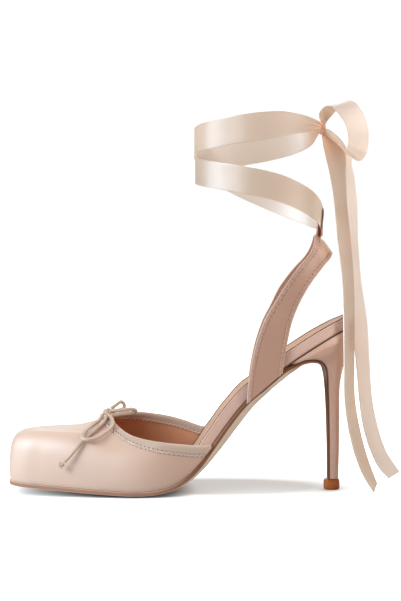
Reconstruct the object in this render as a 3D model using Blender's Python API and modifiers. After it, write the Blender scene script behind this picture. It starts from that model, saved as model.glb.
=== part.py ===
"""Lace-up slingback stiletto pump for the left foot, standing empty on its sole.

X runs from the toe to the heel, Y from the outer side of the foot to the inner side, Z up.
The origin is on the floor, under the middle of the shoe. Tables are in millimetres.
"""

import math

import bmesh
import bpy
import numpy as np

MM = 0.001

# Driving dimensions, in millimetres.
GAP = 0.3
UPPER_WALL = 1.6
STRAP_WALL = 1.8
SOLE_EDGE = 2.4
BELLY_POWER = 2.6
INSOLE_BAND = 7.1
INSOLE_FORE = 3.0
INSOLE_INSET = 2.1
SOCK_CUP = 0.18
SOCK_CORNER = 0.8
HEEL_INSET = 1.0
FLAP_START = 62.0
HEEL_START = 68.4
RIBBON_THICKNESS = 0.9
CORD_DIAMETER = 2.2
TIP_MIDDLE = 96.95
TIP_HALF = 5.0
BAND_START = 6.0
FORE_END = -24.0
SHARP_ANGLE = 40.0
OUTLINE_STEPS = 1600
CORD_STEP = 3.2
END_CROWDING = 0.38

# The sole's outline seen from above: x, outer side y, inner side y.
TOE_FRONT = (-108.4, 0.8)
SEAT_BACK = (111.0, 0.0)
OUTLINE = [
    (-107.8, -16.5, 18.0),
    (-105.0, -24.4, 26.0),
    (-99.6, -28.0, 29.6),
    (-87.0, -30.6, 32.4),
    (-68.0, -33.6, 35.2),
    (-50.0, -36.0, 37.0),
    (-34.0, -37.2, 37.0),
    (-20.0, -36.6, 34.6),
    (-6.0, -34.2, 31.2),
    (8.0, -31.0, 28.0),
    (22.0, -27.6, 25.2),
    (38.0, -24.9, 24.0),
    (54.0, -24.4, 24.2),
    (70.0, -25.2, 25.2),
    (84.0, -25.6, 25.6),
    (96.0, -23.0, 23.0),
    (104.5, -17.4, 17.4),
    (109.4, -9.0, 9.0),
]

# The foot bed seen from the side: x, height of the insole's underside.
FOOT_BED = [
    (-112.0, 9.4),
    (-87.0, 7.4),
    (-64.0, 5.8),
    (-45.0, 4.6),
    (-28.0, 3.9),
    (-16.0, 4.4),
    (-6.0, 6.6),
    (3.0, 11.6),
    (11.0, 19.2),
    (19.0, 29.9),
    (30.0, 45.2),
    (41.0, 58.4),
    (52.0, 67.6),
    (66.0, 79.5),
    (82.0, 90.6),
    (96.0, 98.9),
    (112.0, 106.6),
]

# The belly of the sole: x, depth below its edge, in from the outline.
SOLE_BELLY = [
    (-111.0, 0.3, 0.0),
    (-90.0, 0.8, 0.0),
    (-60.0, 1.3, 0.0),
    (-30.0, 1.8, 0.0),
    (-10.0, 2.2, 0.0),
    (8.0, 2.7, 0.5),
    (25.0, 4.1, 1.1),
    (34.0, 4.5, 1.25),
    (44.0, 4.3, 1.4),
    (54.0, 3.5, 1.7),
    (62.0, 3.7, 1.9),
]

# The flap that carries the sole down the breast of the heel: x, z of its heel side, half width,
# thickness at its edges, how much more it swells in the middle.
FLAP = [
    (66.2, 79.0, 21.4, 2.4, 3.5),
    (71.0, 81.4, 19.6, 2.4, 2.8),
    (77.0, 83.5, 17.6, 2.0, 1.6),
    (83.4, 84.1, 15.6, 1.6, 1.3),
    (88.3, 82.9, 13.4, 1.3, 0.8),
    (91.7, 79.6, 11.2, 1.1, 0.2),
    (93.0, 74.4, 9.2, 1.1, 0.0),
    (93.6, 67.0, 7.6, 1.1, 0.0),
    (94.2, 53.0, 5.9, 1.1, 0.0),
    (94.6, 37.0, 5.0, 1.1, 0.0),
    (94.9, 21.0, 4.5, 1.1, 0.0),
    (94.9, 7.0, 4.3, 1.1, 0.0),
]

# The heel block from seat to tip: back x, back z, half width, squareness of the front corners.
HEEL_RINGS = [
    (110.4, 105.4, 24.8, 3.2),
    (110.3, 102.4, 24.4, 3.0),
    (109.6, 98.2, 22.6, 2.9),
    (108.2, 92.6, 19.6, 2.8),
    (106.5, 86.6, 15.9, 2.7),
    (104.9, 80.6, 12.5, 2.6),
    (103.3, 73.6, 9.9, 2.6),
    (102.2, 65.2, 7.9, 2.6),
    (102.0, 52.0, 6.1, 2.6),
    (101.9, 36.0, 5.2, 2.6),
    (101.6, 20.0, 4.8, 2.6),
    (101.3, 7.0, 4.6, 2.6),
]

# The heel tip: height, how much wider than the tip's half width.
TIP_PROFILE = [
    (0.0, -0.7),
    (0.35, -0.2),
    (1.2, 0.15),
    (5.8, 0.0),
    (6.6, -0.35),
]
TIP_SQUARENESS = 3.0

# The topline of the upper, from the outer rear corner round the throat: x, y, z.
TOPLINE = [
    (19.0, -28.3, 31.4),
    (9.6, -30.5, 31.2),
    (-1.5, -32.1, 32.3),
    (-13.2, -32.4, 33.8),
    (-22.0, -30.4, 35.2),
    (-30.3, -26.2, 37.1),
    (-37.6, -18.4, 40.4),
    (-43.0, -9.0, 44.3),
    (-46.4, 1.0, 46.6),
    (-43.6, 10.5, 47.7),
    (-37.6, 19.2, 47.9),
    (-30.0, 26.0, 47.3),
    (-19.5, 30.2, 45.7),
    (-6.8, 29.2, 43.6),
    (2.0, 28.2, 41.2),
    (14.7, 26.4, 37.2),
    (22.6, 25.1, 37.0),
]

# The upper's profile along the outline, from the outer rear corner round the toe to the inner one.
# at: position on the outline; corner: height of the corner between wall and top, of the whole height;
# inset: lean of the wall to that corner; round: size of the rounding; dip: hollow of the top.
UPPER_PROFILE = [
    (0.00, 0.60, 0.0, 0.6, 0.0),
    (0.08, 0.66, 0.1, 6.0, 0.0),
    (0.20, 0.76, 0.3, 14.0, 0.0),
    (0.30, 0.90, 1.0, 15.0, 0.3),
    (0.40, 0.845, 1.6, 13.0, 1.2),
    (0.46, 0.82, 1.6, 11.5, 2.2),
    (0.50, 0.80, 1.6, 11.0, 2.6),
    (0.54, 0.75, 1.6, 11.5, 2.8),
    (0.60, 0.70, 1.6, 13.0, 2.8),
    (0.70, 0.685, 1.2, 15.0, 2.4),
    (0.80, 0.69, 0.4, 15.0, 1.0),
    (0.92, 0.66, 0.1, 6.0, 0.0),
    (1.00, 0.60, 0.0, 0.6, 0.0),
]
WALL_BULGE = 0.8
# How far through its swell the wall is at the corner, and the wall height from which it swells fully.
BULGE_TURN = 0.75
FULL_WALL = 20.0

# The sling strap, outer half: front edge x, y, z, then rear edge x, y, z. The inner half mirrors it,
# with its front edge a little further back.
SLING = [
    (41.6, -26.5, 57.4, 63.2, -26.6, 75.9),
    (42.6, -26.5, 69.5, 63.9, -26.6, 82.0),
    (44.4, -26.6, 81.5, 64.9, -26.7, 88.2),
    (47.6, -26.9, 95.4, 66.7, -26.8, 98.0),
    (53.3, -27.2, 110.8, 69.9, -26.9, 110.7),
    (60.2, -27.0, 122.4, 74.4, -26.6, 121.2),
    (67.2, -26.0, 133.2, 80.0, -25.0, 130.8),
    (75.2, -23.2, 143.6, 86.0, -21.0, 138.6),
    (81.2, -18.4, 150.2, 91.4, -15.2, 144.9),
    (84.4, -12.2, 155.6, 95.0, -9.6, 148.8),
    (86.1, -6.4, 160.8, 96.9, -4.8, 151.0),
    (86.6, -2.4, 163.8, 97.6, -1.8, 151.6),
    (86.7, 0.0, 164.3, 97.7, 0.0, 151.7),
]
SLING_CAMBER = 1.3
# How far back the inner half's front edge stands, up to where this fades out.
SLING_INNER_BACK = 2.0
SLING_BACK_FADES = (114.0, 132.0)

# The narrow loop on the peak of the sling, seen from the side: x, z of its middle line.
LOOP_WIDTH = 6.0
LOOP_THICKNESS = 0.9
LOOP = [
    (89.0, 164.3),
    (90.7, 165.3),
    (91.5, 168.0),
    (91.7, 172.0),
    (91.8, 175.6),
    (91.8, 179.0),
    (91.3, 183.0),
    (89.6, 184.8),
    (88.2, 183.4),
    (87.8, 178.0),
    (87.7, 171.0),
    (87.8, 166.2),
]

# The ankle ribbon: its ring seen from above, then its middle height by turns from the knot behind.
RING_CENTRE = (49.5, 0.0)
RING_HALF_LENGTH = 40.6
RING_HALF_WIDTH = 33.0
RIBBON_LAYER = 0.5
RIBBON_SECTIONS = 61
# turn, middle height, half height of the band
RIBBON_UP = [
    (0.03, 233.0, 2.4),
    (0.06, 232.6, 2.9),
    (0.10, 232.0, 4.3),
    (0.15, 231.4, 6.2),
    (0.20, 230.5, 8.0),
    (0.25, 229.1, 8.6),
    (0.35, 226.1, 8.6),
    (0.45, 224.2, 8.6),
    (0.50, 222.8, 8.6),
    (0.55, 219.2, 8.6),
    (0.60, 213.4, 8.6),
    (0.65, 206.4, 8.6),
    (0.75, 194.6, 8.6),
    (0.85, 184.0, 8.6),
    (0.93, 177.6, 8.2),
    (1.00, 174.6, 7.3),
]
RIBBON_DOWN = [
    (-0.02, 175.0, 6.7),
    (0.00, 174.6, 7.0),
    (0.05, 178.0, 8.0),
    (0.12, 184.0, 8.6),
    (0.20, 190.8, 8.6),
    (0.30, 196.4, 8.5),
    (0.40, 201.0, 8.5),
    (0.50, 206.2, 8.6),
    (0.60, 213.6, 8.6),
    (0.70, 219.8, 8.6),
    (0.80, 224.7, 8.6),
    (0.87, 227.6, 7.8),
    (0.93, 229.6, 5.2),
    (0.97, 231.8, 2.4),
]

# Free ends of the ankle ribbon: one edge x, y, z, then the other edge x, y, z.
RIBBON_KNOT = (90.6, 0.0, 232.2)
RIBBON_KNOT_SIZE = (6.0, 9.6, 8.8)
BOW_LOOP = [
    (90.2, -1.5, 237.2, 92.6, 2.0, 236.6),
    (89.0, 0.0, 240.4, 97.0, 8.0, 241.0),
    (89.9, 1.0, 243.8, 101.3, 12.6, 246.2),
    (92.8, 1.0, 246.6, 104.6, 12.0, 250.0),
    (95.9, -2.0, 246.6, 108.3, 8.4, 251.6),
    (98.6, -6.0, 243.6, 112.4, 2.0, 249.4),
    (101.6, -9.6, 239.0, 116.0, -2.0, 243.8),
    (104.6, -12.6, 233.1, 118.7, -4.0, 236.8),
    (106.0, -14.4, 225.6, 120.1, -5.0, 226.3),
    (105.8, -14.0, 219.8, 118.9, -4.0, 216.2),
    (105.2, -11.0, 217.5, 115.9, 0.0, 211.8),
    (103.8, -7.0, 221.8, 110.3, 4.0, 214.6),
    (100.5, -5.0, 226.3, 104.0, 5.0, 218.9),
    (96.5, -3.5, 230.0, 97.7, 4.0, 223.6),
    (94.4, -1.8, 231.6, 94.6, 2.4, 228.8),
]
TAIL_LEFT = [
    (90.1, -3.5, 225.8, 92.5, 0.5, 226.3),
    (90.8, -5.2, 220.6, 98.4, 1.5, 222.4),
    (91.9, -7.0, 214.5, 104.6, 2.4, 216.4),
    (94.4, -9.0, 201.6, 105.9, 2.4, 203.0),
    (96.6, -11.4, 185.5, 106.7, 2.0, 186.8),
    (98.9, -15.4, 159.9, 108.9, -1.4, 160.6),
    (101.2, -20.0, 135.7, 110.2, -6.4, 136.0),
    (101.8, -24.0, 106.1, 110.2, -10.6, 105.8),
    (101.9, -25.6, 81.2, 109.8, -12.4, 80.4),
    (102.2, -26.0, 59.4, 110.3, -12.6, 58.1),
    (105.4, -26.4, 37.6, 114.2, -12.8, 35.9),
    (109.2, -27.0, 23.4, 118.2, -13.2, 21.5),
    (114.1, -27.6, 11.7, 121.8, -13.4, 11.5),
    (120.2, -28.0, 2.4, 124.3, -13.0, 5.2),
]
TAIL_RIGHT = [
    (94.6, 6.0, 226.2, 96.4, 8.8, 225.0),
    (98.8, 7.6, 219.6, 106.2, 12.6, 219.2),
    (102.6, 7.4, 209.0, 112.2, 14.8, 210.4),
    (104.4, 5.6, 198.0, 113.8, 13.0, 199.5),
    (105.4, 4.8, 185.6, 114.6, 10.0, 186.9),
    (107.4, 1.4, 160.0, 115.2, 9.0, 160.8),
    (108.6, -4.0, 135.8, 116.6, 6.4, 136.1),
    (109.4, -8.2, 106.0, 120.3, 1.6, 105.7),
    (111.4, -12.2, 80.7, 121.3, -1.0, 79.9),
    (112.9, -14.4, 59.5, 123.1, -1.6, 56.1),
    (115.2, -15.0, 42.8, 126.6, -2.0, 39.5),
    (119.4, -15.0, 28.2, 130.7, -2.2, 26.7),
    (125.9, -15.0, 15.0, 135.3, -2.6, 18.5),
    (131.6, -15.0, 9.0, 140.4, -2.8, 11.3),
]

# The cord bow at the throat: x, y, z of each middle line.
THROAT_KNOT = (-47.6, -1.6, 49.7)
THROAT_KNOT_SIZE = (5.4, 4.6, 4.8)
THROAT_LOOP_TOP = [
    (-45.2, 1.0, 51.9),
    (-43.0, 2.2, 53.4),
    (-40.8, 3.2, 55.0),
    (-39.2, 4.0, 55.9),
    (-37.8, 4.8, 55.0),
    (-37.1, 5.4, 53.0),
    (-37.8, 5.8, 51.2),
    (-39.8, 5.4, 50.6),
    (-42.2, 4.2, 50.2),
    (-44.2, 3.0, 49.8),
]
THROAT_LOOP_SIDE = [
    (-44.3, -2.2, 50.6),
    (-40.5, -2.4, 51.0),
    (-36.0, -2.2, 51.3),
    (-31.8, -1.4, 51.5),
    (-29.6, -0.2, 50.8),
    (-29.8, 0.8, 49.6),
    (-32.0, 0.6, 48.8),
    (-36.0, -0.4, 48.4),
    (-40.5, -1.4, 47.9),
    (-43.4, -2.0, 47.4),
]
THROAT_LOOP_FRONT = [
    (-50.7, -3.6, 48.2),
    (-52.2, -9.4, 45.4),
    (-55.5, -17.0, 43.2),
    (-58.3, -25.6, 41.2),
    (-60.3, -31.8, 38.9),
    (-60.6, -35.2, 37.2),
    (-58.2, -36.8, 36.3),
    (-54.4, -36.4, 36.5),
    (-50.8, -34.0, 37.3),
    (-47.5, -29.8, 39.0),
    (-44.8, -24.0, 41.0),
    (-43.2, -17.3, 43.2),
    (-43.5, -11.8, 45.3),
    (-45.0, -7.4, 47.2),
]
THROAT_TAIL = [
    (-48.0, -7.6, 46.2),
    (-49.9, -15.0, 43.6),
    (-52.8, -22.5, 41.3),
    (-55.5, -28.8, 39.0),
    (-58.4, -31.9, 36.6),
    (-61.2, -34.4, 33.6),
    (-64.0, -36.4, 30.3),
    (-67.6, -37.8, 26.2),
    (-71.0, -38.6, 22.7),
]
TAIL_END_KNOT = (-72.9, -38.9, 20.8)
TAIL_END_KNOT_SIZE = (4.2, 4.0, 4.2)


def clear_scene():
    for thing in list(bpy.data.objects):
        bpy.data.objects.remove(thing, do_unlink=True)


def unit(vectors):
    return vectors / np.linalg.norm(vectors, axis=1)[:, None]


def smooth(knots, values, where):
    """Values at the places in where, on a smooth curve through values at knots."""
    knots = np.asarray(knots, float)
    values = np.asarray(values, float).reshape(len(knots), -1)
    where = np.asarray(where, float)
    slopes = np.gradient(values, knots, axis=0)
    span = np.clip(np.searchsorted(knots, where, side="right") - 1, 0, len(knots) - 2)
    width = (knots[span + 1] - knots[span])[:, None]
    t = (where[:, None] - knots[span][:, None]) / width
    start = (2 * t**3 - 3 * t**2 + 1) * values[span] + (t**3 - 2 * t**2 + t) * width * slopes[span]
    end = (3 * t**2 - 2 * t**3) * values[span + 1] + (t**3 - t**2) * width * slopes[span + 1]
    return start + end


def along(rows):
    """Distance of each row from the first, along the rows' first three columns."""
    points = np.asarray(rows, float)[:, :3]
    steps = np.linalg.norm(np.diff(points, axis=0), axis=1)
    return np.concatenate([[0.0], np.cumsum(steps)])


def resample(rows, count):
    """count rows, evenly spaced on the smooth curve through rows."""
    distance = along(rows)
    return smooth(distance, rows, np.linspace(0.0, distance[-1], count))


def ease(low, high, value):
    """0 below low, 1 above high, and a soft slope between."""
    share = np.clip((np.asarray(value, float) - low) / (high - low), 0.0, 1.0)
    return share * share * (3 - 2 * share)


def outline_curve():
    """The outline as a dense closed curve from the seat's back, round the outer side and the toe."""
    outer = [(x, y_out) for x, y_out, y_in in reversed(OUTLINE)]
    inner = [(x, y_in) for x, y_out, y_in in OUTLINE]
    loop = [SEAT_BACK] + outer + [TOE_FRONT] + inner + [SEAT_BACK]
    padded = inner[-2:] + loop + outer[:2]
    flat = np.array([(x, y, 0.0) for x, y in padded])
    distance = along(flat)
    places = np.linspace(distance[2], distance[-3], OUTLINE_STEPS + 1)
    return smooth(distance, flat[:, :2], places)


OUTLINE_POINTS = outline_curve()
TOE_INDEX = int(np.argmin(OUTLINE_POINTS[:, 0]))


def inset_outline(inset):
    """The outline moved inwards by inset, as two lists of x and y from the back to the toe."""
    step = unit(np.gradient(OUTLINE_POINTS, axis=0))
    inwards = np.stack([step[:, 1], -step[:, 0]], axis=1)
    middle = OUTLINE_POINTS.mean(axis=0)
    if np.dot(inwards[TOE_INDEX], middle - OUTLINE_POINTS[TOE_INDEX]) < 0:
        inwards = -inwards
    moved = OUTLINE_POINTS + inwards * inset
    return moved[: TOE_INDEX + 1], moved[TOE_INDEX:]


def side_y(x, inset):
    """Outer and inner y of the inset outline at each x."""
    outer, inner = inset_outline(inset)
    y_out = np.interp(x, outer[::-1, 0], outer[::-1, 1])
    y_in = np.interp(x, inner[:, 0], inner[:, 1])
    return y_out, y_in


def bed_height(x):
    rows = np.array(FOOT_BED)
    return smooth(rows[:, 0], rows[:, 1], np.atleast_1d(x))[:, 0]


def bed_slope(x):
    return (bed_height(np.atleast_1d(x) + 0.5) - bed_height(np.atleast_1d(x) - 0.5))


def stations(first, last, count):
    """x of each section, closer together at both ends."""
    turn = np.linspace(0.0, math.pi, count)
    even = np.linspace(0.0, 1.0, count)
    eased = 0.5 - 0.5 * np.cos(turn)
    return first + (last - first) * (even + END_CROWDING * (eased - even))


def make_material(name, colour, roughness, metallic=0.0):
    material = bpy.data.materials.new(name)
    material.use_nodes = True
    shader = material.node_tree.nodes["Principled BSDF"]
    shader.inputs["Base Color"].default_value = (*colour, 1.0)
    shader.inputs["Roughness"].default_value = roughness
    shader.inputs["Metallic"].default_value = metallic
    material.diffuse_color = (*colour, 1.0)
    return material


def add_object(name, mesh, material, group):
    thing = bpy.data.objects.new(name, mesh)
    group.objects.link(thing)
    mesh.materials.append(material)
    return thing


def mesh_from(name, points, faces):
    mesh = bpy.data.meshes.new(name)
    scaled = [tuple(float(value) * MM for value in point) for point in points]
    mesh.from_pydata(scaled, [], faces)
    mesh.shade_smooth()
    mesh.set_sharp_from_angle(angle=math.radians(SHARP_ANGLE))
    return mesh


def point_outwards(mesh):
    work = bmesh.new()
    work.from_mesh(mesh)
    bmesh.ops.recalc_face_normals(work, faces=work.faces)
    work.to_mesh(mesh)
    work.free()


def loft(name, rings, material, group):
    """A closed solid through rings of equal point counts, with a flat cap at each end."""
    rings = np.asarray(rings, float)
    count, size = rings.shape[0], rings.shape[1]
    faces = []
    for ring in range(count - 1):
        for k in range(size):
            after = (k + 1) % size
            faces.append((ring * size + k, ring * size + after,
                          (ring + 1) * size + after, (ring + 1) * size + k))
    faces.append(tuple(range(size)))
    faces.append(tuple((count - 1) * size + k for k in reversed(range(size))))
    mesh = mesh_from(name, rings.reshape(-1, 3), faces)
    point_outwards(mesh)
    return add_object(name, mesh, material, group)


def shell(name, grid, thickness, outwards, material, group):
    """An open surface through grid, thickened away from the direction outwards of its middle."""
    grid = np.asarray(grid, float)
    rows, columns = grid.shape[0], grid.shape[1]
    faces = []
    for r in range(rows - 1):
        for c in range(columns - 1):
            faces.append((r * columns + c, r * columns + c + 1,
                          (r + 1) * columns + c + 1, (r + 1) * columns + c))
    mesh = mesh_from(name, grid.reshape(-1, 3), faces)
    thing = add_object(name, mesh, material, group)
    middle = mesh.polygons[len(faces) // 2]
    if middle.normal.dot(outwards) < 0:
        mesh.flip_normals()
    solidify = thing.modifiers.new("wall", "SOLIDIFY")
    solidify.thickness = thickness * MM
    solidify.offset = -1.0
    solidify.use_even_offset = True
    return thing


def band_rings(rows, thickness, count):
    """Rings of a flat band between two edge lines; each row holds both edges."""
    fine = resample(rows, count)
    first, second = fine[:, :3], fine[:, 3:6]
    middle = (first + second) / 2
    forward = np.gradient(middle, axis=0)
    half = unit(np.cross(forward, second - first)) * thickness / 2
    return np.stack([first + half, middle + half, second + half,
                     second - half, middle - half, first - half], axis=1)


def tube(name, rows, diameter, material, group):
    """A round cord on a smooth line through rows."""
    rows = np.asarray(rows, float)
    count = int(along(rows)[-1] / CORD_STEP) + 1
    points = resample(rows, count) * MM
    line = bpy.data.curves.new(name, "CURVE")
    line.dimensions = "3D"
    line.bevel_depth = diameter * MM / 2
    line.bevel_resolution = 2
    line.use_fill_caps = True
    spline = line.splines.new("POLY")
    spline.points.add(count - 1)
    for point, place in zip(spline.points, points):
        point.co = (*place, 1.0)
    thing = bpy.data.objects.new(name, line)
    group.objects.link(thing)
    line.materials.append(material)
    return thing


def pebble(name, centre, size, material, group):
    """A small knot: a sphere stretched to size."""
    work = bmesh.new()
    bmesh.ops.create_uvsphere(work, u_segments=12, v_segments=8, radius=0.5)
    bmesh.ops.scale(work, vec=[value * MM for value in size], verts=work.verts)
    bmesh.ops.translate(work, vec=[value * MM for value in centre], verts=work.verts)
    mesh = bpy.data.meshes.new(name)
    work.to_mesh(mesh)
    work.free()
    mesh.shade_smooth()
    return add_object(name, mesh, material, group)


def make_outsole(material, group):
    """Forepart and waist follow the foot bed; the flap turns down the breast of the heel."""
    belly = np.array(SOLE_BELLY)
    xs = stations(TOE_FRONT[0] + 0.25, FLAP_START, 34)
    shape = smooth(belly[:, 0], belly[:, 1:], xs)
    tops = bed_height(xs) - GAP
    y_out, y_in = side_y(xs, 0.0)
    spine = [(x, z, out + inset, inner - inset, depth, SOLE_EDGE)
             for x, z, out, inner, (depth, inset) in zip(xs, tops, y_out, y_in, shape)]
    spine += [(x, z, -half, half, swell, edge) for x, z, half, edge, swell in FLAP]
    spine = np.array(spine)
    line = np.stack([spine[:, 0], np.zeros(len(spine)), spine[:, 1]], axis=1)
    forward = unit(np.gradient(line, along(line), axis=0))
    down = np.stack([forward[:, 2], np.zeros(len(spine)), -forward[:, 0]], axis=1)
    across = np.linspace(-1.0, 1.0, 9)
    rings = []
    for place, normal, (x, z, out, inner, depth, edge) in zip(line, down, spine):
        ys = (out + inner) / 2 + across * (inner - out) / 2
        top = [place + np.array([0.0, y, 0.0]) for y in ys]
        bottom = []
        for share, y in zip(across, ys):
            under = edge + depth * (1 - abs(share) ** BELLY_POWER)
            point = place + normal * under + np.array([0.0, y, 0.0])
            if x < 0.0:
                point[2] = max(point[2], 0.0)
            bottom.append(point)
        rings.append(top + bottom[::-1])
    return loft("outsole", rings, material, group)


def insole_thickness(x):
    upright = np.sqrt(1 + bed_slope(x) ** 2)
    return (INSOLE_FORE + (INSOLE_BAND - INSOLE_FORE) * ease(FORE_END, BAND_START, x)) * upright


def make_insole(material, group):
    """Board and sock: a slightly cupped slab on the foot bed, inside the upper's walls."""
    front = TOE_FRONT[0] + INSOLE_INSET + 0.25
    back = SEAT_BACK[0] - INSOLE_INSET - 0.25
    xs = stations(front, back, 44)
    y_out, y_in = side_y(xs, INSOLE_INSET)
    bottoms = bed_height(xs)
    heights = insole_thickness(xs)
    across = np.array([-1.0, -0.8, -0.45, 0.0, 0.45, 0.8, 1.0])
    rings = []
    for x, out, inner, low, height in zip(xs, y_out, y_in, bottoms, heights):
        ys = (out + inner) / 2 + across * (inner - out) / 2
        cup = SOCK_CUP * height
        top = []
        for share, y in zip(across, ys):
            top.append((x, y, low + height - cup * (1 - share * share)))
        rounding = min(SOCK_CORNER, (inner - out) / 5)
        top[0] = (x, ys[0] + rounding / 2, low + height)
        top[-1] = (x, ys[-1] - rounding / 2, low + height)
        sides_out = (x, ys[0], low + height - rounding)
        sides_in = (x, ys[-1], low + height - rounding)
        bottom = [(x, y, low) for y in ys[[6, 3, 0]]]
        rings.append(top + [sides_in] + bottom + [sides_out])
    return loft("insole", rings, material, group)


def upper_grid(columns_wing, columns_toe, wall_steps, round_steps, top_steps):
    """The upper's outer surface: a column of points for each place along the outline."""
    rear_out, rear_in = TOPLINE[0][0], TOPLINE[-1][0]
    outer, inner = OUTLINE_POINTS[: TOE_INDEX + 1], OUTLINE_POINTS[TOE_INDEX:]
    start = int(np.argmin(abs(outer[:, 0] - rear_out)))
    finish = TOE_INDEX + int(np.argmin(abs(inner[:, 0] - rear_in)))
    foot = OUTLINE_POINTS[start: finish + 1]
    flat = np.column_stack([foot, np.zeros(len(foot))])
    distance = along(flat)
    length = distance[-1]
    toe_at = distance[TOE_INDEX - start] / length
    out_split = distance[int(np.argmin(abs(outer[start:, 0] - FORE_END)))] / length
    in_split = distance[TOE_INDEX - start + int(np.argmin(abs(inner[:, 0] - FORE_END)))] / length
    places = np.concatenate([
        np.linspace(0.0, out_split, columns_wing, endpoint=False),
        np.linspace(out_split, toe_at, columns_toe, endpoint=False),
        np.linspace(toe_at, in_split, columns_toe, endpoint=False),
        np.linspace(in_split, 1.0, columns_wing)])
    foot_x = np.interp(places * length, distance, foot[:, 0])
    foot_y = np.interp(places * length, distance, foot[:, 1])
    foot_z = bed_height(foot_x)
    top = np.array(TOPLINE)
    top_distance = along(top)
    dense_at = np.linspace(0.0, top_distance[-1], 900)
    dense = smooth(top_distance, top, dense_at)
    peak = int(np.argmin(dense[:, 0]))
    top_out = np.interp(FORE_END, dense[: peak + 1][::-1, 0], dense_at[: peak + 1][::-1])
    top_in = np.interp(FORE_END, dense[peak:, 0], dense_at[peak:])
    matched = []
    for place, x in zip(places, foot_x):
        if place < out_split:
            matched.append(np.interp(x, dense[: peak + 1][::-1, 0], dense_at[: peak + 1][::-1]))
        elif place <= toe_at:
            share = (place - out_split) / (toe_at - out_split)
            matched.append(top_out + (dense_at[peak] - top_out) * share)
        elif place < in_split:
            share = (place - toe_at) / (in_split - toe_at)
            matched.append(dense_at[peak] + (top_in - dense_at[peak]) * share)
        else:
            matched.append(np.interp(x, dense[peak:, 0], dense_at[peak:]))
    rim = smooth(top_distance, top, matched)
    profile = np.array(UPPER_PROFILE)
    shares = np.where(places <= toe_at, 0.5 * places / toe_at,
                      0.5 + 0.5 * (places - toe_at) / (1 - toe_at))
    shape = smooth(profile[:, 0], profile[:, 1:], shares)
    grid = []
    for x, y, z, goal, (corner, inset, rounding, dip) in zip(foot_x, foot_y, foot_z, rim, shape):
        foot_point = np.array([x, y, z])
        flat_way = np.array([goal[0] - x, goal[1] - y, 0.0])
        reach = max(np.linalg.norm(flat_way), 0.05)
        flat_way /= reach
        rise = goal[2] - z
        inset = min(inset, 0.6 * reach)
        bend = foot_point + flat_way * inset + np.array([0.0, 0.0, rise * corner])
        wall = np.linalg.norm(bend - foot_point)
        run = np.linalg.norm(goal - bend)
        below = bend + (foot_point - bend) / wall * min(rounding, 0.8 * wall)
        beyond = bend + (goal - bend) / run * min(rounding, 0.8 * run)
        column = []
        bulge = WALL_BULGE * min(1.0, wall / FULL_WALL)
        for t in np.linspace(0.0, 1.0, wall_steps, endpoint=False):
            swell = bulge * math.sin(math.pi * t * BULGE_TURN)
            column.append(foot_point + (below - foot_point) * t - flat_way * swell)
        swell = bulge * math.sin(math.pi * BULGE_TURN)
        for t in np.linspace(0.0, 1.0, round_steps, endpoint=False):
            arc = (1 - t) ** 2 * below + 2 * t * (1 - t) * bend + t * t * beyond
            column.append(arc - flat_way * swell * (1 - t) ** 2)
        for t in np.linspace(0.0, 1.0, top_steps):
            flat = beyond + (goal - beyond) * t
            column.append(flat - np.array([0.0, 0.0, dip * 4 * t * (1 - t)]))
        grid.append(column)
    return np.array(grid)


def make_vamp(material, group):
    grid = upper_grid(12, 17, 4, 5, 5)
    return shell("vamp", grid, UPPER_WALL, (0.0, -1.0, 0.0), material, group)


def make_sling(material, group):
    outer = resample(SLING, 26)
    inner = outer[::-1][1:].copy()
    inner[:, 1] *= -1
    inner[:, 4] *= -1
    inner[:, 0] += SLING_INNER_BACK * (1.0 - ease(*SLING_BACK_FADES, inner[:, 2]))
    rows = np.vstack([outer, inner])
    middle = (rows[:, :3] + rows[:, 3:6]) / 2
    forward = np.gradient(middle, axis=0)
    normal = unit(np.cross(forward, rows[:, 3:6] - rows[:, :3]))
    if normal[len(rows) // 2][0] < 0:
        normal = -normal
    height = (middle[:, 2] - middle[0, 2]) / (middle[:, 2].max() - middle[0, 2])
    camber = SLING_CAMBER * np.clip(height, 0.0, 1.0) ** 2
    grid = []
    for row, out, rise in zip(rows, normal, camber):
        line = []
        for share in np.linspace(0.0, 1.0, 6):
            point = row[:3] + (row[3:6] - row[:3]) * share
            line.append(point + out * rise * 4 * share * (1 - share))
        grid.append(line)
    return shell("sling_strap", grid, STRAP_WALL, (1.0, 0.0, 0.0), material, group)


def make_ribbon_loop(material, group):
    """A closed ring of narrow ribbon, standing on the peak of the sling."""
    rows = [(x, 0.0, z) for x, z in LOOP]
    flat = np.array(rows[-2:] + rows + rows[:3])
    distance = along(flat)
    places = np.linspace(distance[2], distance[-3], 29)[:-1]
    closed = smooth(distance, flat, places)
    forward = unit(np.roll(closed, -1, axis=0) - np.roll(closed, 1, axis=0))
    out = np.stack([forward[:, 2], np.zeros(len(closed)), -forward[:, 0]], axis=1)
    half = LOOP_WIDTH / 2
    rings = []
    for place, normal in zip(closed, out):
        for side, way in ((-half, 1), (half, 1), (half, -1), (-half, -1)):
            rings.append(place + np.array([0.0, side, 0.0]) + normal * way * LOOP_THICKNESS / 2)
    count = len(closed)
    faces = []
    for ring in range(count):
        after = (ring + 1) % count
        for k in range(4):
            step = (k + 1) % 4
            faces.append((ring * 4 + k, ring * 4 + step, after * 4 + step, after * 4 + k))
    mesh = mesh_from("ribbon_loop", rings, faces)
    point_outwards(mesh)
    return add_object("ribbon_loop", mesh, material, group)


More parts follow.
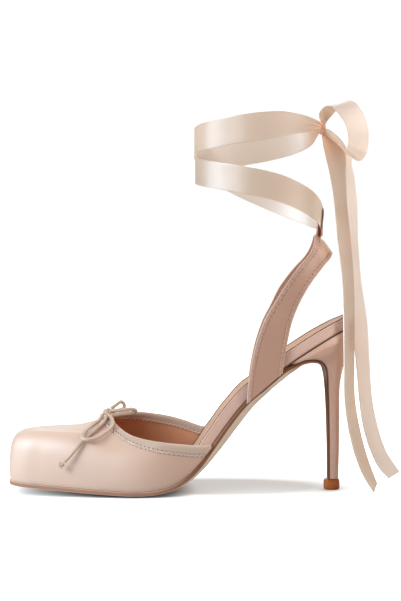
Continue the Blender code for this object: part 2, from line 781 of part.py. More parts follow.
def heel_ring(front, back, half_width, squareness, on_seat, count=24):
    """A D-shaped ring from its front point to its back point."""
    middle = ((front[0] + back[0]) / 2, (front[1] + back[1]) / 2)
    half = ((back[0] - front[0]) / 2, (back[1] - front[1]) / 2)
    ring = []
    for angle in np.linspace(0.0, 2 * math.pi, count, endpoint=False):
        power = 1.0 if math.cos(angle) > 0 else 2.0 / squareness
        reach = math.copysign(abs(math.cos(angle)) ** power, math.cos(angle))
        side = math.copysign(abs(math.sin(angle)) ** power, math.sin(angle))
        x = middle[0] + half[0] * reach
        z = middle[1] + half[1] * reach
        y = half_width * side
        if on_seat:
            z = float(bed_height(x)[0]) - GAP
            limit = float(side_y(np.array([x]), HEEL_INSET)[1][0])
            y = math.copysign(min(abs(y), limit), y)
        ring.append((x, y, z))
    return ring


def make_heel(material, group):
    """The block under the seat, hollowed at the breast by the sole's flap, down to the stem."""
    flap = np.array([(row[0], 0.0, row[1]) for row in FLAP])
    forward = unit(np.gradient(flap, along(flap), axis=0))
    out = np.stack([-forward[:, 2], np.zeros(len(flap)), forward[:, 0]], axis=1)
    front_line = flap + out * GAP
    fronts = [(HEEL_START, float(bed_height(HEEL_START)[0]) - GAP)]
    fronts += [(point[0], point[2]) for point in front_line[1:]]
    rings = []
    for number, (front, row) in enumerate(zip(fronts, HEEL_RINGS)):
        back_x, back_z, half_width, squareness = row
        rings.append(heel_ring(front, (back_x, back_z), half_width, squareness, number == 0))
    return loft("heel", rings, material, group)


def make_heel_tip(material, group):
    """The moulded top piece: the stem's D shape, a little larger, with a rounded lower edge."""
    rings = []
    for height, grow in TIP_PROFILE:
        half = TIP_HALF + grow
        front = (TIP_MIDDLE - half, height)
        back = (TIP_MIDDLE + half, height)
        rings.append(heel_ring(front, back, half, TIP_SQUARENESS, False))
    return loft("heel_tip", rings, material, group)


def ribbon_strip(name, table, layer, material, group):
    """One wrap of the ankle ribbon, moved outwards from the ring's own line by layer."""
    rows = np.array(table)
    turns = np.linspace(rows[0, 0], rows[-1, 0], RIBBON_SECTIONS)
    heights = smooth(rows[:, 0], rows[:, 1:], turns)
    rings = []
    for turn, (middle, half) in zip(turns, heights):
        angle = 2 * math.pi * turn
        out = np.array([math.cos(angle) / RING_HALF_LENGTH, -math.sin(angle) / RING_HALF_WIDTH, 0.0])
        out /= np.linalg.norm(out)
        place = np.array([RING_CENTRE[0] + RING_HALF_LENGTH * math.cos(angle),
                          RING_CENTRE[1] - RING_HALF_WIDTH * math.sin(angle), middle])
        place += out * layer
        up = np.array([0.0, 0.0, half])
        wall = out * RIBBON_THICKNESS / 2
        rings.append([place + up + wall, place + up - wall, place - up - wall, place - up + wall])
    return loft(name, rings, material, group)


def make_ankle_ribbon(material, group, cutters):
    """Two wraps that meet in the loop behind and are joined where they cross in front."""
    ribbon = ribbon_strip("ankle_ribbon", RIBBON_UP, RIBBON_LAYER / 2, material, group)
    second = ribbon_strip("ankle_ribbon_second_wrap", RIBBON_DOWN, -RIBBON_LAYER / 2, material, cutters)
    second.hide_render = True
    second.display_type = "WIRE"
    join = ribbon.modifiers.new("join", "BOOLEAN")
    join.operation = "UNION"
    join.solver = "EXACT"
    join.object = second
    return ribbon


def make_bands(material, group):
    for name, rows, count in (("bow_loop", BOW_LOOP, 40), ("ribbon_tail_left", TAIL_LEFT, 34),
                              ("ribbon_tail_right", TAIL_RIGHT, 34)):
        loft(name, band_rings(rows, RIBBON_THICKNESS, count), material, group)
    pebble("ribbon_knot", RIBBON_KNOT, RIBBON_KNOT_SIZE, material, group)


def make_throat_bow(material, group):
    for name, rows in (("throat_loop_top", THROAT_LOOP_TOP), ("throat_loop_side", THROAT_LOOP_SIDE),
                       ("throat_loop_front", THROAT_LOOP_FRONT), ("throat_tail", THROAT_TAIL)):
        tube(name, rows, CORD_DIAMETER, material, group)
    pebble("throat_knot", THROAT_KNOT, THROAT_KNOT_SIZE, material, group)
    pebble("tail_end_knot", TAIL_END_KNOT, TAIL_END_KNOT_SIZE, material, group)


def main():
    clear_scene()
    group = bpy.data.collections.new("stiletto_pump")
    cutters = bpy.data.collections.new("stiletto_pump_joins")
    bpy.context.scene.collection.children.link(group)
    bpy.context.scene.collection.children.link(cutters)
    satin = make_material("blush satin", (0.80, 0.66, 0.57), 0.45)
    band_satin = make_material("blush satin band", (0.62, 0.47, 0.40), 0.45)
    ribbon = make_material("satin ribbon", (0.82, 0.72, 0.62), 0.4)
    cord = make_material("twisted cord", (0.70, 0.56, 0.48), 0.6)
    leather = make_material("sole leather", (0.48, 0.24, 0.13), 0.5)
    tip = make_material("moulded heel tip", (0.38, 0.12, 0.03), 0.4)
    make_outsole(leather, group)
    make_insole(band_satin, group)
    make_vamp(satin, group)
    make_sling(band_satin, group)
    make_ribbon_loop(satin, group)
    make_heel(band_satin, group)
    make_heel_tip(tip, group)
    make_ankle_ribbon(ribbon, group, cutters)
    make_bands(ribbon, group)
    make_throat_bow(cord, group)


main()
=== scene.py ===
"""The looks of a slingback stiletto pump in blush satin, with an ankle ribbon and a cord bow.

X runs from the toe to the heel, Y from the outer side of the left foot to the inner side, Z up.
Tables and lengths are in millimetres, in the frame of the solids. Meshes are in metres.
"""

import math

import bmesh
import bpy
import numpy as np
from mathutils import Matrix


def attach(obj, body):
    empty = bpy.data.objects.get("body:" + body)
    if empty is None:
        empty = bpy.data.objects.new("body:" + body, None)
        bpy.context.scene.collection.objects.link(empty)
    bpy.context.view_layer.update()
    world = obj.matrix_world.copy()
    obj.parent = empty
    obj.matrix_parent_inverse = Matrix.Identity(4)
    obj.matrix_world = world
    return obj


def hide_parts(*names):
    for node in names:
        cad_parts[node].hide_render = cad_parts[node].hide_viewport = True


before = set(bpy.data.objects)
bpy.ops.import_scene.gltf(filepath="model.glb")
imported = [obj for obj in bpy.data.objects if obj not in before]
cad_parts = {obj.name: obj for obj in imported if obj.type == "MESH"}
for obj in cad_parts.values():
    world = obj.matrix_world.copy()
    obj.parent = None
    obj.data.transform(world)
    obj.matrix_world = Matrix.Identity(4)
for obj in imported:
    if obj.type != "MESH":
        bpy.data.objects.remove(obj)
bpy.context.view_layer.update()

MM = 0.001

# Where the camera stands, level with the ankle, and how long its lens is.
CAMERA_PLACE = (12.4, -750.0, 121.5)
CAMERA_LENS = 69.63
CAMERA_SENSOR = 36.0

# The studio's lights, in metres and watts: name, place, aim, size, power, tint.
LIGHTS = [
    ("key_box", (-0.24, -0.21, 0.13), (-0.05, 0.0, 0.06), (0.12, 0.12), 0.75, "#DCF1FF"),
    ("ribbon_box", (-0.24, -0.42, 0.23), (0.03, -0.02, 0.215), (0.10, 0.10), 0.30, "#F2F8FF"),
    ("toe_box", (-0.75, -0.20, 0.30), (-0.03, 0.0, 0.12), (0.5, 0.5), 3.3, "#DCF0FF"),
    ("top_box", (-0.15, 0.10, 1.60), (0.0, 0.0, 0.10), (1.5, 1.5), 5.0, "#FFFFFF"),
    ("heel_box", (0.42, -0.20, 0.10), (0.09, 0.0, 0.08), (0.14, 0.14), 0.5, "#FFF6EE"),
    ("bow_box", (0.32, -0.17, 0.44), (0.10, 0.0, 0.21), (0.30, 0.30), 1.05, "#FAFAF8"),
    ("rear_box", (0.45, 0.95, 0.65), (0.05, 0.0, 0.20), (0.8, 0.8), 10.5, "#FFFAF4"),
]

# The room's soft light and its tint, and how white the backdrop looks to the camera.
ROOM_LIGHT = 0.18
ROOM_TINT = "#FFEBDD"
BACKDROP_WHITE = 1.05
# How much the floor paper glows to the camera close to the shoe and far from it, over which
# distances that changes, and how far the paper reaches; distances in metres.
FLOOR_LIFT = 0.24
FLOOR_WHITE = 1.2
FLOOR_FADE = (0.06, 0.13)
FLOOR_REACH = 6.0

# ---------------------------------------------------------------- sizes and tables of the shoe

# The gap between the insole and what lies under it.
GAP = 0.3
# The thickness of the walls and of the sole's edge, and how far that edge's corners are broken.
UPPER_WALL = 1.6
STRAP_WALL = 1.8
SOLE_EDGE = 2.4
SOLE_CORNER = 0.35
# How far the flap stands proud of its solid at each side.
FLAP_PROUD = 0.5
# How far the heel is let into its flap, and how much squarer its covered front is than the block.
HEEL_LET_IN = 0.15
HEEL_FRONT_SQUARER = 1.9
# How full the sole's belly is, from 2 for a round one to a box.
BELLY_POWER = 2.6
# The insole: height of its band behind and at the forepart; then how far in from the outline it,
# its sock and the heel stand.
INSOLE_BAND = 7.1
INSOLE_FORE = 3.0
INSOLE_INSET = 2.1
SOCK_INSET = 3.1
HEEL_INSET = 1.0
# Where along the shoe the flap and the heel start, where the band has its full height, and where
# the forepart ends.
FLAP_START = 62.0
HEEL_START = 68.4
BAND_START = 6.0
FORE_END = -24.0
# The edge's dye: where it turns to the waist's, and how far behind the flap's start it covers the
# whole flap; then over these heights, and by what share, a painted reflection lightens the flap's face
# above the stem.
EDGE_DYE_TURN = (-20.0, 12.0)
FLAP_DYE_REACH = 12.0
FLAP_REFLECTION_HEIGHTS = (66.0, 76.0)
FLAP_PAINTED_REFLECTION = 0.4
TIP_MIDDLE = 96.95
TIP_HALF = 5.0
TIP_SQUARENESS = 3.0
SHARP_ANGLE = 40.0
# The throat's cord: its drawn radius before it is flattened and wrinkled.
CORD_RADIUS = 1.2
CORD_WRINKLE = 0.045
CORD_FLATTEN = 0.92
# The ankle ribbon: its width in the wraps, its thickness, and how far the middle of a free end bows
# out.
RIBBON_WIDTH = 17.2
RIBBON_THICKNESS = 0.42
RIBBON_CUP = 0.35
# Pleats in the ribbon where it is drawn narrower than this.
PLEAT_FROM = 12.0
PLEAT_DEPTH = 0.38
PLEATS = 3.0
# Where painted shade deepens the vamp's satin, by the ball, and where a painted highlight lightens
# the sling's satin, at its peak.
VAMP_PAINTED_SHADE = (8.0, -38.0, 20.0)
SLING_PAINTED_HIGHLIGHT = (93.0, -5.0, 152.0)

# How finely each form is drawn: sections along it, then points across it.
OUTLINE_STEPS = 1600
RIM_STEPS = 900
# The upper: columns of each wing and each half of the toe; steps up the wall, round the bend, on top.
UPPER_GRID = (44, 100, 12, 16, 26)
CASING_SECTIONS, CASING_ACROSS = 620, 26
SLING_SECTIONS, SLING_ACROSS = 110, 27
SOLE_SECTIONS, FLAP_SECTIONS, SOLE_ACROSS = 130, 90, 21
INSOLE_SECTIONS = 420
SOCK_SECTIONS, SOCK_ACROSS = 170, 31
HEEL_SECTIONS = 110
WRAP_SECTIONS, RIBBON_ACROSS = 230, 25
KEEPER_SECTIONS, KEEPER_ACROSS = 90, 13
TREFOIL_POINTS = 90
CORD_STEP = 0.6
RIBBON_STEP = 1.2

# The folds that run out from the gathers over the vamp, the casing's own gathers, and where along
# the shoe both fade out.
FOLD_SPACING = 6.3
FOLD_DEPTH = 0.45
FOLD_REACH = 7.0
GATHER_SPACING = 3.1
GATHER_DEPTH = 0.42
GATHER_REST = 0.03
THROAT_FADE = (-45.0, -27.0)

# Sewing: distance apart, length and radius of each stitch, and its slant in degrees. A needle hole
# is drawn as a short dark stitch: painted shade in the hole.
CASING_ZIGZAG = dict(spacing=1.45, length=2.4, thread=0.27, slant=52.0)
SLING_ZIGZAG = dict(spacing=1.5, length=1.8, thread=0.2, slant=50.0)
SLING_HOLES = dict(spacing=3.0, length=0.6, thread=0.22, slant=0.0)
# The casing's holes: distance apart, distance from the seam, and for each row its name, its side of
# the seam, height over the seam and radius.
CASING_HOLES_APART = 2.6
CASING_HOLES_ASIDE = 0.95
CASING_HOLES = (("upper", 1, 0.45, 0.40), ("lower", -1, 0.1, 0.28))
# The part of the casing that is sewn: its seam stops short of both rear corners.
CASING_SEWN = slice(12, -14)

# The sole's outline seen from above: x, outer side y, inner side y.
TOE_FRONT = (-108.4, 0.8)
SEAT_BACK = (111.0, 0.0)
OUTLINE = [
    (-107.8, -16.5, 18.0), (-105.0, -24.4, 26.0), (-99.6, -28.0, 29.6), (-87.0, -30.6, 32.4),
    (-68.0, -33.6, 35.2), (-50.0, -36.0, 37.0), (-34.0, -37.2, 37.0), (-20.0, -36.6, 34.6),
    (-6.0, -34.2, 31.2), (8.0, -31.0, 28.0), (22.0, -27.6, 25.2), (38.0, -24.9, 24.0),
    (54.0, -24.4, 24.2), (70.0, -25.2, 25.2), (84.0, -25.6, 25.6), (96.0, -23.0, 23.0),
    (104.5, -17.4, 17.4), (109.4, -9.0, 9.0),
]

# The foot bed seen from the side: x, height of the insole's underside.
FOOT_BED = [
    (-112.0, 9.4), (-87.0, 7.4), (-64.0, 5.8), (-45.0, 4.6), (-28.0, 3.9), (-16.0, 4.4),
    (-6.0, 6.6), (3.0, 11.6), (11.0, 19.2), (19.0, 29.9), (30.0, 45.2), (41.0, 58.4),
    (52.0, 67.6), (66.0, 79.5), (82.0, 90.6), (96.0, 98.9), (112.0, 106.6),
]

# The belly of the sole: x, depth below its edge, in from the outline.
SOLE_BELLY = [
    (-111.0, 0.3, 0.0), (-90.0, 0.8, 0.0), (-60.0, 1.3, 0.0), (-30.0, 1.8, 0.0), (-10.0, 2.2, 0.0),
    (8.0, 3.2, 0.5), (25.0, 4.9, 1.1), (34.0, 5.0, 1.25), (44.0, 4.5, 1.4), (54.0, 3.5, 1.7),
    (62.0, 3.7, 1.9),
]

# The flap down the breast of the heel: x, z of its heel side, half width, thickness of its edge,
# swell in the middle.
FLAP = [
    (66.2, 79.0, 21.4, 2.4, 3.5), (71.0, 81.4, 19.6, 2.4, 2.8), (77.0, 83.5, 17.6, 2.0, 1.6),
    (83.4, 84.1, 15.6, 1.6, 1.3), (88.3, 82.9, 13.4, 1.3, 0.8), (91.7, 79.6, 11.2, 1.0, 0.2),
    (93.0, 74.4, 9.2, 0.8, 0.0), (93.6, 67.0, 7.6, 0.7, 0.0), (94.2, 53.0, 5.9, 0.6, 0.0),
    (94.6, 37.0, 5.0, 0.6, 0.0), (94.9, 21.0, 4.5, 0.6, 0.0), (94.9, 7.0, 4.3, 0.6, 0.0),
]

# The heel block from seat to tip: back x, back z, half width, squareness of the front corners.
HEEL_RINGS = [
    (110.4, 105.4, 24.8, 3.2), (110.3, 102.4, 24.4, 3.0), (109.6, 98.2, 22.6, 2.9),
    (108.2, 92.6, 19.6, 2.8), (106.5, 86.6, 15.9, 2.7), (104.9, 80.6, 12.5, 2.6),
    (103.3, 73.6, 9.9, 2.6), (102.2, 65.2, 7.9, 2.6), (102.0, 52.0, 6.1, 2.6),
    (101.9, 36.0, 5.2, 2.6), (101.6, 20.0, 4.8, 2.6), (101.3, 7.0, 4.6, 2.6),
]

# The heel tip: height, how much wider than the tip's half width.
TIP_PROFILE = [
    (0.0, -0.9), (0.12, -0.5), (0.4, -0.2), (1.2, 0.15), (3.0, 0.12), (5.2, 0.02), (5.8, 0.0),
    (6.1, -0.3), (6.6, -0.35),
]

# The topline of the upper, from the outer rear corner round the throat: x, y, z.
TOPLINE = [
    (19.0, -28.3, 31.4), (9.6, -30.5, 31.2), (-1.5, -32.1, 32.3), (-13.2, -32.4, 33.8),
    (-22.0, -30.4, 35.2), (-30.3, -26.2, 37.1), (-37.6, -18.4, 40.4), (-43.0, -9.0, 44.3),
    (-46.4, 1.0, 46.6), (-43.6, 10.5, 47.7), (-37.6, 19.2, 47.9), (-30.0, 26.0, 47.3),
    (-19.5, 30.2, 45.7), (-6.8, 29.2, 43.6), (2.0, 28.2, 41.2), (14.7, 26.4, 37.2),
    (22.6, 25.1, 37.0),
]

# The upper's profile along the outline, from the outer rear corner round the toe to the inner one.
# at: position on the outline; corner: height of the corner between wall and top, of the whole height;
# inset: lean of the wall to that corner; round: size of the rounding; dip: hollow of the top.
UPPER_PROFILE = [
    (0.00, 0.60, 0.0, 0.6, 0.0), (0.08, 0.66, 0.1, 6.0, 0.0), (0.20, 0.76, 0.3, 14.0, 0.0),
    (0.30, 0.90, 1.0, 15.0, 0.3), (0.40, 0.845, 1.6, 13.0, 1.2), (0.46, 0.82, 1.6, 11.5, 2.2),
    (0.50, 0.80, 1.6, 11.0, 2.6), (0.54, 0.75, 1.6, 11.5, 2.8), (0.60, 0.70, 1.6, 13.0, 2.8),
    (0.70, 0.685, 1.2, 15.0, 2.4), (0.80, 0.69, 0.4, 15.0, 1.0), (0.92, 0.66, 0.1, 6.0, 0.0),
    (1.00, 0.60, 0.0, 0.6, 0.0),
]
WALL_BULGE = 0.8

# The sling strap, outer half: front edge x, y, z, then rear edge x, y, z. The inner half mirrors it.
SLING = [
    (41.6, -26.5, 57.4, 63.2, -26.6, 75.9), (42.6, -26.5, 69.5, 63.9, -26.6, 82.0),
    (44.4, -26.6, 81.5, 64.9, -26.7, 88.2), (47.6, -26.9, 95.4, 66.7, -26.8, 98.0),
    (53.3, -27.2, 110.8, 69.9, -26.9, 110.7), (60.2, -27.0, 122.4, 74.4, -26.6, 121.2),
    (67.2, -26.0, 133.2, 80.0, -25.0, 130.8), (75.2, -23.2, 143.6, 86.0, -21.0, 138.6),
    (81.2, -18.4, 150.2, 91.4, -15.2, 144.9), (84.4, -12.2, 155.6, 95.0, -9.6, 148.8),
    (86.1, -6.4, 160.8, 96.9, -4.8, 151.0), (86.6, -2.4, 163.8, 97.6, -1.8, 151.6),
    (86.7, 0.0, 164.3, 97.7, 0.0, 151.7),
]
SLING_CAMBER = 1.3
# How far back the inner half's front edge stands, up to where this fades out.
SLING_INNER_BACK = 2.0
SLING_BACK_FADES = (114.0, 132.0)

# The keeper loop on the peak of the sling. Its wall thins from one thickness to the other between
# these heights.
LOOP_WIDTH = 6.0
LOOP_THICKNESS = 0.8
LOOP_THIN = 0.4
KEEPER_THINS = (166.0, 174.0)
# Its far edge draws together to this x below the first height, and is open above the second; the
# draw grows over these shares of its width, up to this part of the way.
KEEPER_PINCH = (89.2, 169.0, 174.0)
KEEPER_DRAW_GROWS = (-0.9, 0.3)
KEEPER_DRAWN = 0.85
# The share of its width from which the inner face takes a darker colour: painted shade inside the loop.
KEEPER_PAINTED_SHADE_FROM = -0.8
# Its middle line seen from the side: x, z.
LOOP = [
    (89.0, 161.8), (90.4, 163.2), (90.7, 167.0), (90.9, 171.0), (91.4, 175.4), (91.6, 178.2),
    (91.0, 181.0), (89.6, 182.0), (88.2, 181.0), (87.8, 177.4), (87.6, 171.0), (87.3, 166.4),
    (87.1, 163.0),
]

# The ankle ribbon's ring seen from above, and how far apart its two wraps lie.
RING_CENTRE = (49.5, 0.0)
RING_HALF_LENGTH = 40.6
RING_HALF_WIDTH = 33.0
RIBBON_LAYER = 0.5
# At the keeper, over this share of a turn, the ribbon presses out and its lower edge is drawn in.
KEEPER_SPAN = 0.07
KEEPER_REACH = 1.1
KEEPER_LEAN = 1.3
# The two wraps: turn from the knot behind, height of the middle, half width.
RIBBON_UP = [
    (0.012, 232.9, 2.2), (0.03, 233.0, 2.4), (0.06, 232.6, 2.9), (0.10, 232.0, 4.3),
    (0.15, 231.4, 6.2), (0.20, 230.5, 8.0), (0.25, 229.1, 8.6), (0.35, 226.1, 8.6), (0.45, 224.2, 8.6),
    (0.50, 222.8, 8.6), (0.55, 219.2, 8.6), (0.60, 213.4, 8.6), (0.65, 206.4, 8.6),
    (0.75, 194.6, 8.6), (0.85, 184.0, 8.6), (0.93, 177.0, 7.8), (1.00, 173.9, 6.6),
]
RIBBON_DOWN = [
    (-0.02, 174.3, 6.1), (0.00, 173.9, 6.4), (0.05, 178.0, 8.0), (0.12, 184.0, 8.6),
    (0.20, 190.8, 8.6), (0.30, 196.4, 8.5), (0.40, 201.0, 8.5), (0.50, 206.2, 8.6),
    (0.60, 213.6, 8.6), (0.70, 219.8, 8.6), (0.80, 224.7, 8.6), (0.87, 227.6, 7.8),
    (0.93, 229.6, 5.2), (0.97, 231.8, 2.4), (0.988, 232.2, 2.2),
]

# The ankle ribbon's knot, and how much smaller its satin pulls than its solid, by axis.
RIBBON_KNOT = (90.6, 0.0, 232.2)
RIBBON_KNOT_SIZE = (6.0, 9.6, 8.8)
KNOT_PULL = (0.80, 0.80, 0.86)
# Free ends of the ankle ribbon: one edge x, y, z, then the other edge x, y, z.
BOW_LOOP = [
    (90.3, -0.8, 233.4, 92.0, 1.4, 233.0), (90.0, -1.5, 237.2, 93.6, 2.4, 236.4),
    (89.0, 0.0, 240.4, 97.0, 8.0, 241.0),
    (89.9, 1.0, 243.8, 101.3, 12.6, 246.2), (92.8, 1.0, 246.6, 104.6, 12.0, 250.0),
    (95.9, -2.0, 246.6, 108.3, 8.4, 251.6), (98.6, -6.0, 243.6, 112.4, 2.0, 249.4),
    (101.6, -9.6, 239.0, 116.0, -2.0, 243.8), (104.6, -12.6, 233.1, 118.7, -4.0, 236.8),
    (106.0, -14.4, 225.6, 120.1, -5.0, 226.3), (105.8, -14.0, 219.8, 118.9, -4.0, 216.2),
    (105.2, -11.0, 217.5, 115.9, 0.0, 211.8), (103.8, -7.0, 221.8, 110.3, 4.0, 214.6),
    (100.5, -5.0, 226.3, 104.0, 5.0, 218.9), (96.5, -3.5, 230.0, 97.7, 4.0, 222.8),
    (94.4, -1.8, 231.6, 94.2, 2.4, 226.6),
]
# The loop's end and the start of its tail, which the knot hides.
INSIDE_RIBBON_KNOT = [
    (92.2, -0.6, 231.6, 91.6, 1.6, 230.2), (92.4, 2.6, 229.4, 92.8, 4.6, 228.2),
]
TAIL_LEFT = [
    (90.6, -1.8, 230.0, 91.6, 0.2, 230.6), (90.5, -3.8, 225.4, 94.4, 0.9, 226.8),
    (91.2, -5.2, 220.6, 100.0, 1.6, 222.8), (92.3, -7.0, 214.5, 105.0, 2.2, 217.8),
    (95.0, -9.0, 201.6, 106.2, 2.4, 203.0), (97.3, -11.4, 185.5, 106.8, 2.0, 186.8),
    (98.9, -15.4, 159.9, 108.9, -1.4, 160.6), (101.2, -20.0, 135.7, 110.2, -6.4, 136.0),
    (101.8, -24.0, 106.1, 110.2, -10.6, 105.8), (101.9, -25.6, 81.2, 109.8, -12.4, 80.4),
    (102.2, -26.0, 59.4, 110.3, -12.6, 58.1), (105.4, -26.4, 37.6, 114.2, -12.8, 35.9),
    (109.2, -27.0, 23.4, 118.2, -13.2, 21.5), (114.1, -27.6, 11.7, 121.8, -13.4, 11.5),
    (120.2, -28.0, 2.4, 124.3, -13.0, 5.2),
]
TAIL_RIGHT = [
    (94.6, 6.0, 226.2, 96.4, 8.8, 225.0), (98.8, 7.6, 219.6, 109.8, 12.6, 220.0),
    (102.6, 7.4, 209.0, 111.9, 14.2, 210.4), (104.4, 5.6, 198.0, 113.8, 13.0, 199.5),
    (105.4, 4.8, 185.6, 114.6, 10.0, 186.9), (107.4, 1.4, 160.0, 115.2, 9.0, 160.8),
    (108.6, -4.0, 135.8, 116.6, 6.4, 136.1), (109.4, -8.2, 106.0, 120.3, 1.6, 105.7),
    (111.4, -12.2, 80.7, 121.3, -1.0, 79.9), (112.9, -14.4, 59.5, 123.1, -1.6, 56.1),
    (115.2, -15.0, 42.8, 126.6, -2.0, 39.5), (119.4, -15.0, 28.2, 130.7, -2.2, 26.7),
    (125.9, -15.0, 15.0, 135.3, -2.6, 18.5), (131.6, -15.0, 9.0, 140.4, -2.8, 11.3),
]

# The cord bow at the throat: its knots' middles, and x, y, z of each middle line.
THROAT_KNOT = (-47.6, -1.6, 49.7)
TAIL_END_KNOT = (-72.9, -38.9, 20.8)
THROAT_LOOP_TOP = [
    (-45.2, 1.0, 51.9), (-43.0, 2.2, 53.4), (-40.8, 3.2, 55.0), (-39.2, 4.0, 55.9),
    (-37.8, 4.8, 55.0), (-37.1, 5.4, 53.0), (-37.8, 5.8, 51.2), (-39.8, 5.4, 50.6),
    (-42.2, 4.2, 50.2), (-44.2, 3.0, 49.8),
]
THROAT_LOOP_SIDE = [
    (-44.3, -2.2, 50.6), (-40.5, -2.4, 51.0), (-36.0, -2.2, 51.3), (-31.8, -1.4, 51.5),
    (-29.6, -0.2, 50.8), (-29.8, 0.8, 49.6), (-32.0, 0.6, 48.8), (-36.0, -0.4, 48.4),
    (-40.5, -1.4, 47.9), (-43.4, -2.0, 47.4),
]
THROAT_LOOP_FRONT = [
    (-50.7, -3.6, 48.2), (-52.2, -9.4, 45.4), (-55.5, -17.0, 43.2), (-58.3, -25.6, 41.2),
    (-60.3, -31.8, 38.9), (-60.6, -35.2, 37.2), (-58.2, -36.8, 36.3), (-54.4, -36.4, 36.5),
    (-50.8, -34.0, 37.3), (-47.5, -29.8, 39.0), (-44.8, -24.0, 41.0), (-43.2, -17.3, 43.2),
    (-43.5, -11.8, 45.3), (-45.0, -7.4, 47.2),
]
THROAT_TAIL = [
    (-48.0, -7.6, 46.2), (-49.9, -15.0, 43.6), (-52.8, -22.5, 41.3), (-55.5, -28.8, 39.0),
    (-58.4, -31.9, 36.6), (-61.2, -34.4, 33.6), (-64.0, -36.4, 30.3), (-67.6, -37.8, 26.2),
    (-71.0, -38.6, 22.7),
]
# Where each line runs on inside the throat's knot.
INSIDE_KNOT_BACK = [(-46.6, -0.4, 50.0), (-46.8, -1.6, 50.2)]
INSIDE_KNOT_FRONT = [(-47.2, -3.8, 48.2)]

# The casing's section over the topline: down from the rim, height over the satin.
CASING_WIDTH = 5.4
CASING_SECTION = [
    (5.4, 0.05), (5.2, 0.34), (4.4, 0.50), (3.2, 0.66), (1.9, 0.78), (0.8, 0.74), (0.0, 0.42),
    (-0.45, -0.25), (-0.55, -0.8), (-0.4, -1.4), (0.0, -1.95), (0.9, -2.2), (2.2, -2.2),
    (3.6, -2.05), (4.8, -1.9), (5.0, -1.55),
]
# The same for the rest of its section, which runs unseen inside the upper's wall.
CASING_HIDDEN = [
    (4.6, -UPPER_WALL + 0.35), (1.0, -UPPER_WALL + 0.5), (1.0, -0.5), (5.0, -0.35),
]
# Its seams, outside and inside, and the height at which the section turns to the inside.
CASING_SEAMS = {"outside": (CASING_WIDTH + 0.2, 0.3), "inside": (4.6, -2.15)}
CASING_TURN = -0.8


# ---------------------------------------------------------------- curves and forms of the shoe

def unit(vectors):
    return vectors / np.maximum(np.linalg.norm(vectors, axis=-1, keepdims=True), 1e-9)


def smooth(knots, values, where):
    """Values at the places in where, on a smooth curve through values at knots."""
    knots = np.asarray(knots, float)
    values = np.asarray(values, float).reshape(len(knots), -1)
    where = np.asarray(where, float)
    slopes = np.gradient(values, knots, axis=0)
    span = np.clip(np.searchsorted(knots, where, side="right") - 1, 0, len(knots) - 2)
    width = (knots[span + 1] - knots[span])[:, None]
    t = (where[:, None] - knots[span][:, None]) / width
    start = (2 * t**3 - 3 * t**2 + 1) * values[span] + (t**3 - 2 * t**2 + t) * width * slopes[span]
    end = (3 * t**2 - 2 * t**3) * values[span + 1] + (t**3 - t**2) * width * slopes[span + 1]
    return start + end


def along(rows):
    """Distance of each row from the first, along the rows' first three columns."""
    points = np.asarray(rows, float)[:, :3]
    steps = np.linalg.norm(np.diff(points, axis=0), axis=1)
    return np.concatenate([[0.0], np.cumsum(steps)])


def resample(rows, count):
    """count rows, evenly spaced on the smooth curve through rows."""
    distance = along(rows)
    return smooth(distance, rows, np.linspace(0.0, distance[-1], count))


def ease(low, high, value):
    """0 below low, 1 above high, and a soft slope between."""
    share = np.clip((np.asarray(value, float) - low) / (high - low), 0.0, 1.0)
    return share * share * (3 - 2 * share)


def outline_curve():
    """The outline as a dense closed curve from the seat's back, round the outer side and the toe."""
    outer = [(x, y_out) for x, y_out, y_in in reversed(OUTLINE)]
    inner = [(x, y_in) for x, y_out, y_in in OUTLINE]
    loop = [SEAT_BACK] + outer + [TOE_FRONT] + inner + [SEAT_BACK]
    padded = inner[-2:] + loop + outer[:2]
    flat = np.array([(x, y, 0.0) for x, y in padded])
    distance = along(flat)
    places = np.linspace(distance[2], distance[-3], OUTLINE_STEPS + 1)
    return smooth(distance, flat[:, :2], places)


OUTLINE_POINTS = outline_curve()
TOE_INDEX = int(np.argmin(OUTLINE_POINTS[:, 0]))


def outline_inwards():
    """The direction into the shoe at each point of the outline."""
    step = unit(np.gradient(OUTLINE_POINTS, axis=0))
    inwards = np.stack([step[:, 1], -step[:, 0]], axis=1)
    middle = OUTLINE_POINTS.mean(axis=0)
    if np.dot(inwards[TOE_INDEX], middle - OUTLINE_POINTS[TOE_INDEX]) < 0:
        inwards = -inwards
    return inwards


def side_y(x, inset):
    """Outer and inner y of the inset outline at each x."""
    moved = OUTLINE_POINTS + outline_inwards() * inset
    outer, inner = moved[: TOE_INDEX + 1], moved[TOE_INDEX:]
    y_out = np.interp(x, outer[::-1, 0], outer[::-1, 1])
    y_in = np.interp(x, inner[:, 0], inner[:, 1])
    return y_out, y_in


def bed_height(x):
    rows = np.array(FOOT_BED)
    return smooth(rows[:, 0], rows[:, 1], np.atleast_1d(x))[:, 0]


def bed_slope(x):
    return bed_height(np.atleast_1d(x) + 0.5) - bed_height(np.atleast_1d(x) - 0.5)


def insole_thickness(x):
    eased = ease(FORE_END, BAND_START, x)
    return (INSOLE_FORE + (INSOLE_BAND - INSOLE_FORE) * eased) * np.sqrt(1 + bed_slope(x) ** 2)


def stations(first, last, count, crowding=0.8):
    """x of each section, closer together at both ends."""
    even = np.linspace(0.0, 1.0, count)
    eased = 0.5 - 0.5 * np.cos(np.linspace(0.0, math.pi, count))
    return first + (last - first) * (even + crowding * (eased - even))


